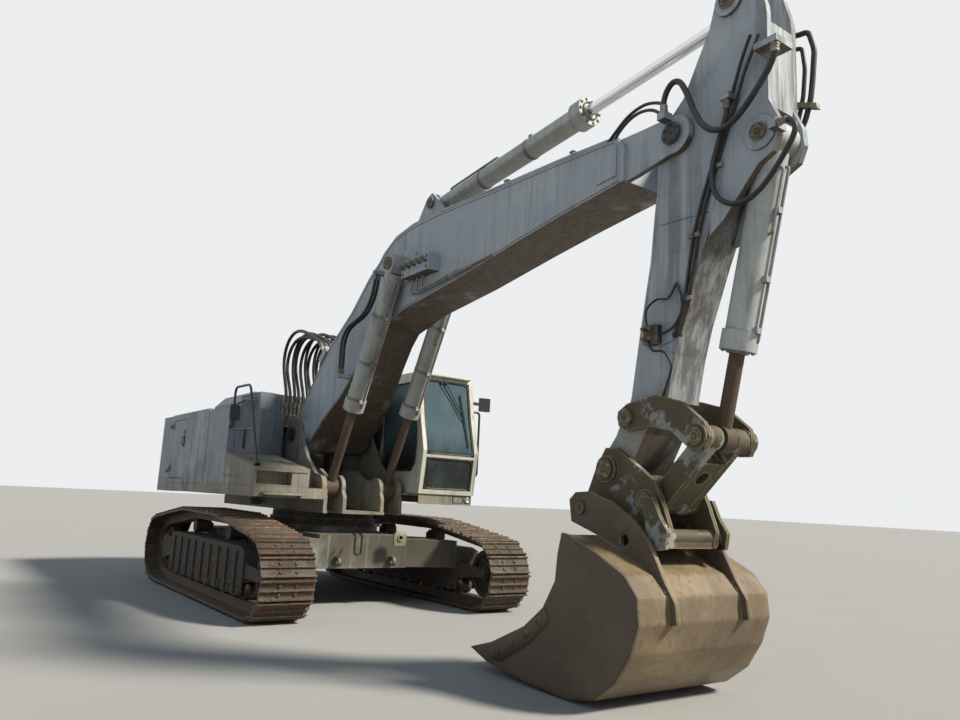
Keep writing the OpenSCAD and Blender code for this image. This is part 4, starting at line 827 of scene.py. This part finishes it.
def dress_barrel(name, foot, eye, y, radius, gland, run, body):
    """Dress of a cylinder's barrel, run long from its foot towards its rod's eye: bolts and a ring on the gland,
    three bands with blocks, and two oil pipes along its upper side."""
    way = unit(np.subtract(eye, foot))
    over = np.array([-way[1], way[0]])
    axis = (way[0], 0, way[1])

    def at(s, h=0, dy=0):
        p = np.asarray(foot) + way * s + over * h
        return (p[0], y + dy, p[1])

    ring = [(0, gland - 0.05), (0.012, gland - 0.05), (0.02, gland - 0.06), (0, gland - 0.06)]
    steel = bolts(around(at(run), axis, gland - 0.024, 10), axis, 0.013) + [hoop(ring, at(run), axis)]
    make(name + "_gland_bolts", steel, "steel", body)
    wide, low, high, block = 0.022, radius - 0.002, radius + 0.007, 0.024
    bands = []
    for s in (0.34 * run, 0.66 * run, run - 0.158):
        bands.append(hoop([(-wide, low), (-wide, high), (wide, high), (wide, low)], at(s), axis))
        middle = at(s, radius + block)
        bands.append(plate(np.subtract(middle, block), np.add(middle, block)))
    for dy, start, end in ((0.03, 0.2, run - 0.075), (-0.03, 0.22, 0.45 * run)):
        line = [at(s, radius + h, dy) for s, h in ((start, -0.004), (start, 0.03), (end, 0.03), (end, -0.004))]
        bands.append(pipe(line, 0.028, 0.012, 10))
    make(name + "_bands_and_pipe", bands, "small", body, angle=50)


for tag, y in (("right", -0.4025), ("left", 0.4025)):
    dress_barrel("lift_cylinder_" + tag, LIFT_HEAD, LIFT_FOOT, y, 0.11, 0.1325, 1.9, "boom_barrels")
dress_barrel("crowd_cylinder", CROWD_FOOT, CROWD_EYE, 0, 0.11, 0.145, 2.56, "stick_barrel")
dress_barrel("tool_cylinder", TOOL_FOOT, LINK_PIN, 0, 0.105, 0.135, 1.56, "tool_barrel")


# Boom and stick
BOOM_LOW = [
    (0.06, 1.935), (0.25, 1.985), (0.4, 2.135), (1.05, 2.635), (1.45, 3.075), (1.85, 3.465), (2.45, 3.615),
    (3.5, 3.745), (4.5, 3.905), (5.2, 4.005), (5.92, 4.09)]
BOOM_HIGH = [
    (-0.15, 2.43), (0.46, 3.05), (1.18, 3.705), (1.51, 4.105), (1.8, 4.37), (2.07, 4.51), (2.45, 4.572),
    (3, 4.578), (4.1, 4.53), (5.2, 4.49), (5.86, 4.455)]
BOOM_HALF = ([0.7, 1.7], [0.429, 0.279])
STICK_BACK = [(6.125, 2.79), (6.17, 3.06), (6.225, 3.34), (6.262, 3.7), (6.292, 3.95), (6.3, 4.08)]
STICK_FRONT = [(6.425, 2.56), (6.495, 2.8), (6.665, 3.26), (6.765, 3.5), (6.905, 3.87)]
STICK_HALF = ([0], [0.179])


def ripple(line, size, rate=2.4, phase=0):
    """Radius of a weld at each point of its line: r (1 + 0.25 sin (rate k + phase))."""
    return size * (1 + 0.25 * np.sin(np.arange(len(line)) * rate + phase))


def bead(line, half, size=0.007, seed=1):
    """Weld bead along a line of (x, z) on both side faces, half being the table of half the width against x."""
    made = []
    for s in SIDES:
        p = even(lift(line, 0), 0.018)
        p[:, 1] = s * np.interp(p[:, 0], *half)
        made.append(sweep(p, ripple(p, size, phase=seed), 6))
    return made


def soft_pipes(lines, radius, step=0.02):
    """Tubes along smooth curves, each through its own points."""
    return [sweep(curve(line, step), radius, 8) for line in lines]


def boom_details():
    """Welds, pads, pipe clamps, the valve block's fittings and pipes, tip hoses and the work lamp's lens."""
    welds = bead(BOOM_LOW, BOOM_HALF) + bead(BOOM_HIGH, BOOM_HALF, seed=3)
    for x, z0, z1 in ((2.3, 3.61, 4.55), (4.72, 3.94, 4.5)):
        welds += bead([(x, z0), (x + 0.05, z1)], BOOM_HALF, 0.006, 5)
    make("boom_welds", welds, "boom", "boom", angle=70)
    pads = both([(2.2, 3.94), (2.36, 3.86), (2.56, 3.92), (2.66, 4.06), (2.62, 4.24), (2.46, 4.34), (2.26, 4.32),
                 (2.14, 4.18), (2.12, 4.04)], 0.2795, 0.29)
    pads += both([(5.66, 4.12), (5.9, 4.14), (5.9, 4.42), (5.66, 4.43)], 0.2795, 0.29)
    make("boom_pin_plates", pads, "boom", "boom", bevel=0.004)

    clamps = []
    for x in (3.3, 4.3, 5.3):
        z = float(np.interp(x, [3, 4.1, 5.2, 5.89], [4.605, 4.555, 4.515, 4.475])) + 0.061
        for y in (-0.215, 0.215):
            clamps.append(plate((x - 0.03, y - 0.052, z), (x + 0.03, y + 0.052, z + 0.012)))
            clamps += bolts([(x, y, z + 0.012)], UP, 0.014)
    make("boom_pipe_clamps", clamps, "small", "boom", bevel=0.003)

    plug = [(0, 0.034), (0.026, 0.034), (0.03, 0.026), (0.046, 0.026), (0.05, 0.02)]
    fittings = [lathe(plug, (2.62 + 0.12 * k, -0.468, 4.01), RIGHT, 6) for k in range(5)]
    for x in (2.6, 3.11):
        fittings += bolts([(x, -0.43, z) for z in (3.925, 4.055)], RIGHT, 0.013)
    fittings += bolts([(x, -0.5305, 4.065) for x in (2.035, 2.065)], RIGHT, 0.008)
    make("valve_block_fittings", fittings, "steel", "boom")
    pipes = []
    for k, (x, low) in enumerate(((2.62, 3.7), (2.74, 3.69), (2.86, 3.73))):
        line = [(x, -0.32, 3.892), (x, -0.32, low), (x + 0.9 + 0.2 * k, -0.3, low + 0.11)]
        pipes.append(pipe(line, 0.06, 0.013))
    make("boom_side_pipes", pipes, "small", "boom", angle=60)

    tip = soft_pipes([
        [(5.86, -0.266, 4.475), (5.9, -0.266, 4.53), (6.01, -0.268, 4.595), (6.13, -0.27, 4.62),
         (6.26, -0.275, 4.595), (6.37, -0.29, 4.52), (6.4, -0.3, 4.44)],
        [(5.76, -0.264, 4.475), (5.86, -0.264, 4.55), (6.01, -0.264, 4.64), (6.18, -0.266, 4.67),
         (6.33, -0.275, 4.63), (6.43, -0.295, 4.555), (6.455, -0.31, 4.44)]], 0.014)
    tip += soft_pipes([
        [(2.98, -0.24, 4.59), (3.06, -0.262, 4.602), (3.6, -0.264, 4.574), (4.15, -0.262, 4.558),
         (4.7, -0.265, 4.526), (5.25, -0.262, 4.512), (5.6, -0.265, 4.486), (5.76, -0.264, 4.475)]], 0.014, 0.05)
    make("boom_tip_hoses", tip, "rubber", "boom", angle=60)
    dish = [(0, 0.052), (0.008, 0.056), (0.012, 0.052), (0.01, 0.046), (0.002, 0.012)]
    make("work_lamp_lens", [lathe(dish, (2.0255, 0.39, 4.19), FRONT, 20)], "lens", "boom")


def stick_details():
    """Welds and plates of the stick, pipe and thin hoses on its right, hoses and bracket on its left, and valve."""
    welds = bead(STICK_BACK, STICK_HALF) + bead(STICK_FRONT, STICK_HALF, seed=2)
    welds += bead([(6.3, 3.62), (6.78, 3.6)], STICK_HALF, 0.006, 4)
    make("stick_welds", welds, "stick", "stick", angle=70)
    side = [(6.28, 2.62), (6.44, 2.66), (6.6, 3.12), (6.66, 3.34), (6.44, 3.36), (6.34, 3.06)]
    make("stick_side_plates", both(side, 0.1795, 0.19), "stick", "stick", bevel=0.004)

    y = -0.2
    down = [(6.9, 4.04), (6.77, 3.7), (6.69, 3.44), (6.6, 2.92), (6.52, 2.71)]
    runs = []
    for back, top in ((0, [(7.26, y - 0.035, 4.8), (7.13, y - 0.03, 4.56), (7.03, y, 4.36)]),
                      (0.048, [(7.19, y - 0.035, 4.83), (7.12, y - 0.03, 4.7), (7.01, y, 4.48)])):
        line = top + [(x - back, y, z) for x, z in down]
        end = lathe([(0, 0.02), (0.03, 0.02), (0.034, 0.014)], line[-1], (-0.35, 0, -0.94), 6)
        runs.append([pipe(line, 0.05, 0.013), end])
    make("stick_pipe", runs[0], "wheels", "stick", angle=60)
    thin = soft_pipes([
        [(6.49, -0.212, 3.1), (6.42, -0.222, 2.99), (6.31, -0.232, 2.995), (6.215, -0.24, 2.93),
         (6.215, -0.242, 2.83), (6.235, -0.235, 2.78)]], 0.009)
    thin += soft_pipes([
        [(6.49, -0.212, 3.1), (6.545, -0.218, 2.98), (6.545, -0.222, 2.86), (6.48, -0.225, 2.76),
         (6.38, -0.225, 2.72), (6.325, -0.222, 2.72)],
        [(6.24, -0.262, 2.69), (6.3, -0.262, 2.59), (6.39, -0.24, 2.57), (6.44, -0.212, 2.48),
         (6.42, -0.205, 2.38), (6.3, -0.2, 2.12)]], 0.01)
    make("stick_side_hose", runs[1] + thin, "rubber", "stick", angle=60)
    clamps = []
    for x, z in ((6.86, 3.93), (6.655, 3.44), (6.575, 2.96)):
        clamps.append(plate((x - 0.055, -0.214, z - 0.018), (x + 0.05, -0.1795, z + 0.018)))
        clamps += bolts([(x - 0.002, -0.214, z)], RIGHT, 0.012)
    make("stick_pipe_clamps", clamps, "small", "stick", bevel=0.004)

    y = 0.27
    wide = [(7.19, 0.17, 5), (7.23, y, 5.005), (7.34, y, 4.99), (7.385, y, 4.82), (7.365, y, 4.6),
            (7.345, y, 4.44), (7.3, y, 4.29), (7.24, y, 4.19), (7.2, 0.175, 4.13)]
    slim = [(7.17, 0.17, 4.9), (7.2, y, 4.9), (7.285, y, 4.88), (7.305, y, 4.7), (7.285, y, 4.48), (7.24, y, 4.3),
            (7.18, 0.175, 4.2)]
    left = [pipe(wide, 0.04, 0.021), pipe(slim, 0.035, 0.017)]
    make("stick_left_hoses", left, "rubber", "stick", angle=60)
    bar = [prism([(7.19, 4.47), (7.4, 4.38), (7.408, 4.33), (7.19, 4.425)], 0.245, 0.295)]
    bar += bolts([(7.23, 0.295, 4.432), (7.37, 0.295, 4.372)], LEFT, 0.016)
    make("stick_hose_bracket", bar, "ochre", "stick", bevel=0.004)
    port = [(0, 0.022), (0.03, 0.022), (0.036, 0.016), (0.06, 0.016)]
    valve = [plate((6.19, -0.25, 2.64), (6.33, -0.1795, 2.8))]
    valve += [lathe(port, (x, -0.25, z), RIGHT, 8) for z in (2.68, 2.76) for x in (6.225, 6.295)]
    make("stick_valve", valve, "cast", "stick", bevel=0.006)


def bucket_details():
    """Welds at the bucket's ears and sides, bolted wear plates at its lip, and the coupler's lock."""
    welds = []
    seam = even(lift([(5.88, 1.11), (6.18, 1.01), (6.44, 0.9), (6.54, 0.79)], 0), 0.02)
    ear = [(6.2, 1.068), (6.47, 0.944), (6.585, 0.82), (6.608, 0.64)]
    for s in SIDES:
        for y in (0.367, 0.423):
            line = even(lift(ear, s * y), 0.02)
            welds.append(sweep(line, ripple(line, 0.009, 2.3), 6))
        welds.append(sweep(seam + (0, s * 0.69, 0), ripple(seam, 0.008, 2.1), 6))
    make("bucket_welds", welds, "bucket", "bucket", angle=70)
    face = 0.738
    spots = [(5.11, 0.195), (5.29, 0.29), (5.47, 0.395), (5.62, 0.51)]
    plates = both([(4.96, 0.135), (5.14, 0.13), (5.5, 0.33), (5.72, 0.52), (5.66, 0.615), (5.42, 0.425),
                   (5.01, 0.245)], 0.7195, face)
    for s in SIDES:
        plates += bolts(lift(spots, s * face), (0, s, 0), 0.02)
    make("bucket_wear_plates", plates, "bucket", "bucket", bevel=0.004)
    horn = [(0, 0.03), (0.09, 0.03), (0.1, 0.022)]
    lock = [lathe(horn, (6.05, y, 1.3), (0.35, 0, 0.94), 14) for y in (-0.12, 0.12)]
    loop = [(6.08, -0.12, 1.4), (6.1, -0.1, 1.46), (6.08, 0, 1.49), (6.1, 0.1, 1.46), (6.08, 0.12, 1.4)]
    make("coupler_lock_fittings", lock + soft_pipes([loop], 0.012), "cast", "bucket")


boom_details()
stick_details()
bucket_details()

# Housings, tank and steps
FLANK, ROOF = 1.5, 2.824


def slats(x0, x1, z0, z1, y, count):
    """Grille in a frame: slat k at z0 + (z1-z0) (k + 1/2) / count, leaning outwards and down."""
    made = []
    for k in range(count):
        z = z0 + (z1 - z0) * (k + 0.5) / count
        slat = [(y, z + 0.014), (y + 0.02, z - 0.01), (y + 0.02, z - 0.014), (y, z + 0.008)]
        made.append(prism(slat, x0, x1, "x"))
    wide = 0.025
    for a, b, c, d in ((x0 - wide, x0, z0 - wide, z1 + wide), (x1, x1 + wide, z0 - wide, z1 + wide),
                       (x0, x1, z0 - wide, z0), (x0, x1, z1, z1 + wide)):
        made.append(plate((a, y, c), (b, y + 0.022, d)))
    return made


def housing_details():
    """Grille, joints of the flank's panels, latches, louvres, grips, filler cap, gauge, exhaust and bolts."""
    make("left_grille", slats(-1.2, -0.45, 1.62, 2.28, FLANK, 17), "small", "upper")
    joints = ((-3.15, -1.705, 1.48, 1.487, 0.0035, 0.001), (-1.712, -1.705, 1.31, 1.48, 0.0035, 0.001),
              (0.16, 0.78, 1.52, 1.528, 0.003, 0.0005), (0.16, 0.78, 1.545, 1.553, 0.003, 0.0005),
              (-0.754, -0.748, 1.44, 2.44, 0.003, 0.001))
    lines = [plate((x0, -FLANK - proud, z0), (x1, -FLANK + sunk, z1)) for x0, x1, z0, z1, proud, sunk in joints]
    make("flank_lines", lines, "black", "upper")

    for body, x, s in (("right_door", -1.905, -1), ("left_door", -1.405, 1)):
        lo, hi = sorted((s * FLANK, s * (FLANK + 0.01)))
        root, reach = s * (FLANK + 0.008), s * (FLANK + 0.03)
        grip = [(x, root, 1.995), (x, reach, 1.995), (x, reach, 2.105), (x, root, 2.105)]
        cup = [plate((x - 0.032, lo, 1.96), (x + 0.032, hi, 2.14)), pipe(grip, 0.012, 0.007, 8)]
        make(body + "_latch", cup, "black", body, bevel=0.003)

    top = []
    for y0, y1 in ((-0.66, -0.06), (0.06, 0.66)):
        for k in range(16):
            x = -2.3 + 0.052 * k
            louvre = [(x, ROOF + 0.002), (x + 0.04, ROOF + 0.014), (x + 0.04, ROOF + 0.018), (x, ROOF + 0.006)]
            top.append(prism(louvre, y0, y1))
        for edge in (y0 - 0.03, y1):
            top.append(plate((-2.34, edge, ROOF), (-1.44, edge + 0.03, ROOF + 0.018)))
    make("hood_louvres", top, "black", "hood")
    grips = []
    for y in (-0.55, 0.55):
        line = [(-0.985, y - 0.07), (-0.945, y - 0.07), (-0.945, y + 0.07), (-0.985, y + 0.07)]
        grips.append(sweep(bent(lift(line, 2.62, "z"), 0.02), 0.009, 8))
    make("hood_grips", grips, "black", "hood")

    cap = lathe([(0, 0.055), (0.012, 0.06), (0.03, 0.06), (0.036, 0.052)], (-0.35, -1.29, 2.488), UP, 24)
    make("filler_cap", [cap, plate((-0.395, -1.298, 2.523), (-0.305, -1.282, 2.54))], "black", "upper")
    make("tank_gauge", [plate((0.1495, -1.3, 1.9), (0.158, -1.262, 2.18))], "black", "upper", bevel=0.003)
    tip = bent(lift([(-1.7, 2.79), (-1.7, 2.83), (-1.79, 2.85)], 1.08), 0.03)
    make("exhaust_bend", [sweep(tip, 0.06, 20)], "pipe", "upper", angle=60)
    heads = []
    for s in SIDES:
        heads += bolts([(-2.7, s * (FLANK + 0.0005), z) for z in (1.6, 2.3)], (0, s, 0), 0.026)
    make("counterweight_bolts", heads, "small", "upper")


BAR = 0.006


def tread_field(columns, corner, pitch, half, lean, top):
    """Raised bars in a herringbone: bar (i, j) at corner + pitch (i, j), leaning right and left by turns."""
    made = []
    for i in range(columns):
        for j in range(7):
            x, y = corner[0] + pitch[0] * i, corner[1] + pitch[1] * j
            tilt = lean if (i + j) % 2 else -lean
            bar = [(x - half, y - tilt), (x + half, y + tilt), (x + half, y + tilt + BAR),
                   (x - half, y - tilt + BAR)]
            made.append(prism(bar, *top(x), "z"))
    return made


def box_top(x):
    """Span of a bar's height on the sloping top of the step box."""
    z = 1.655 + (1.29 - x) * (1.845 - 1.655) / (1.29 - 0.151)
    return z - 0.006, z + 0.005


housing_details()
bars = tread_field(11, (0.62, -1.42), (0.055, 0.075), 0.018, 0.014, box_top)
bars += tread_field(2, (1.325, -1.37), (0.045, 0.072), 0.016, 0.012, lambda x: (1.359, 1.365))
make("tread_bars", bars, "deck", "upper")

# Running gear
SPROCKET, IDLER = (-2.042, 0.492), (2.042, 0.458)
WRAPS = np.array([(*IDLER, 0.408), (0.7, 0.86, 0.19), (-0.7, 0.87, 0.19), (*SPROCKET, 0.408),
                  (-1.712, 0.458, 0.408)])
SHOES = 48
GAUGE = 1.45
BOLT_SHARES, BOLT_OFF = (0.28, 0.7), 0.09


def running_gear():
    """Hub caps and bolts, bolts of the swing ring, and the bow and the tow plate on the frame's front."""
    hubs, caps = [], []
    for s in SIDES:
        out = (0, s, 0)
        drive = (SPROCKET[0], s * 1.555, SPROCKET[1])
        hubs += bolts(around(drive, out, 0.165, 14), out, 0.016)
        caps.append(lathe([(0, 0.135), (0.02, 0.13), (0.032, 0.11), (0.036, 0.06)], drive, out, 28))
        caps.append(lathe([(0, 0.06), (0.01, 0.06), (0.014, 0.05)], (IDLER[0], s * 1.555, IDLER[1]), out, 20))
        for i in range(9):
            x = -1.44 + 0.358 * i
            caps.append(lathe([(0, 0.046), (0.01, 0.046), (0.014, 0.036)], (x, s * 1.615, 0.2404), out, 16))
            hubs += bolts([(x + d, s * 1.615, 0.3) for d in (-0.055, 0.055)], out, 0.014)
    make("hub_bolts", hubs, "wheels", "undercarriage")
    make("hub_caps", caps, "wheels", "undercarriage")
    make("slew_ring_bolts", bolts(around((0, 0, 0.951), UP, 0.79, 40), UP), "steel", "undercarriage")
    root, front, high, low = 1.478, 1.54, 0.9, 0.66
    bow = [(root, -0.255, high), (front, -0.255, high), (front, -0.255, low), (front, -0.165, low),
           (front, -0.165, high), (root, -0.165, high)]
    make("front_lashing_bow", [pipe(bow, 0.035, 0.015)], "wheels", "undercarriage", angle=60)
    tow = [(0.3, 0.76), (0.48, 0.76), (0.48, 0.9), (0.44, 0.94), (0.34, 0.94), (0.3, 0.9)]
    eye = [(0, 0.045), (0.018, 0.045), (0.018, 0.026), (0, 0.026)]
    make("front_tow_plate", [prism(tow, 1.479, 1.515, "x"), lathe(eye, (1.515, 0.39, 0.86), FRONT, 20)],
         "ochre", "undercarriage", bevel=0.006)


def track_pins():
    """Pins of the track: SHOES equal steps on the loop of arcs and tangents around the circles WRAPS."""
    line = []

    def leave(a, b):
        d = b[:2] - a[:2]
        return math.atan2(d[1], d[0]) - math.pi / 2 + math.asin((a[2] - b[2]) / np.linalg.norm(d))

    for before, here, after in zip(np.roll(WRAPS, 1, axis=0), WRAPS, np.roll(WRAPS, -1, axis=0)):
        came = leave(before, here)
        a = came + np.linspace(0, (leave(here, after) - came) % (2 * math.pi), 60)
        line.append(np.stack([here[0] + here[2] * np.cos(a), 0 * a, here[1] + here[2] * np.sin(a)], axis=1))
    loop = np.vstack(line + [line[0][:1]])
    s = gone(loop)
    at = np.arange(SHOES) * s[-1] / SHOES
    return np.stack([np.interp(at, s, loop[:, k]) for k in range(3)], axis=1)


def shoe_bolts():
    """Four bolts on each shoe, between its grousers: at two shares of the pitch, on both sides of the chain."""
    p = track_pins()
    q = np.roll(p, -1, axis=0)
    t = unit(q - p)
    n = np.stack([t[:, 2], 0 * t[:, 0], -t[:, 0]], axis=1)
    for tag, gauge in (("right", -GAUGE), ("left", GAUGE)):
        made = []
        for k in range(SHOES):
            for share in BOLT_SHARES:
                for y in (-BOLT_OFF, BOLT_OFF):
                    spot = p[k] + (q[k] - p[k]) * share + n[k] * 0.0195
                    spot[1] = gauge + y
                    made += bolts([spot], n[k], 0.017, washer=False)
        make("shoe_bolts_" + tag, made, "track", "undercarriage")


running_gear()
shoe_bolts()

# Floor and light: each lamp's name, aim, angle, strength and colour
HALF_FLOOR = 120.0
LAMPS = (("key", (-0.58, -0.47, -0.665), 9, 5, (1, 0.94, 0.82)),
         ("fill", (-0.3, 0.8, -0.52), 70, 0.25, (0.8, 0.9, 1)))
SEEN_SKY = linear(236, 238, 240)
SKY_LIGHT, SKY_STRENGTH = (0.58, 0.79, 1, 1), 0.2


def set_stage():
    """Pale floor, a sun from the front left, a soft fill, cool light all round, and a pale world to be seen."""
    mesh = bpy.data.meshes.new("floor")
    mesh.from_pydata([(x * HALF_FLOOR, y * HALF_FLOOR, 0) for x, y in ((-1, -1), (1, -1), (1, 1), (-1, 1))], [],
                     [(0, 1, 2, 3)])
    f = Finish("floor_pale", linear(164, 163, 161), 0.9)
    f.coat(linear(172, 171, 169), f.noise(0.8, 3))
    f.paint(Base_Color=f.colour)
    mesh.materials.append(f.material)
    show("floor", mesh)
    for name, aim, angle, power, tint in LAMPS:
        lamp = bpy.data.lights.new(name, "SUN")
        lamp.angle, lamp.energy, lamp.color = math.radians(angle), power, tint
        show(name, lamp).rotation_euler = Vector(aim).to_track_quat("-Z", "Y").to_euler()
    world = bpy.data.worlds.new("studio")
    scene.world = world
    w = Nodes(world)
    w.tree.nodes.clear()
    path = w.node("LightPath", out=None)
    camera, glossy, through = (Value(w, path.outputs[f"Is {kind} Ray"])
                               for kind in ("Camera", "Glossy", "Transmission"))
    lit, seen = w.node("Background", None, [SKY_LIGHT, SKY_STRENGTH]), w.node("Background", None, [SEEN_SKY])
    sky = w.node("MixShader", None, [camera.most(glossy).most(through), lit, seen])
    w.node("OutputWorld", None, [sky], out=None)
    scene.view_settings.view_transform = "Standard"


set_stage()
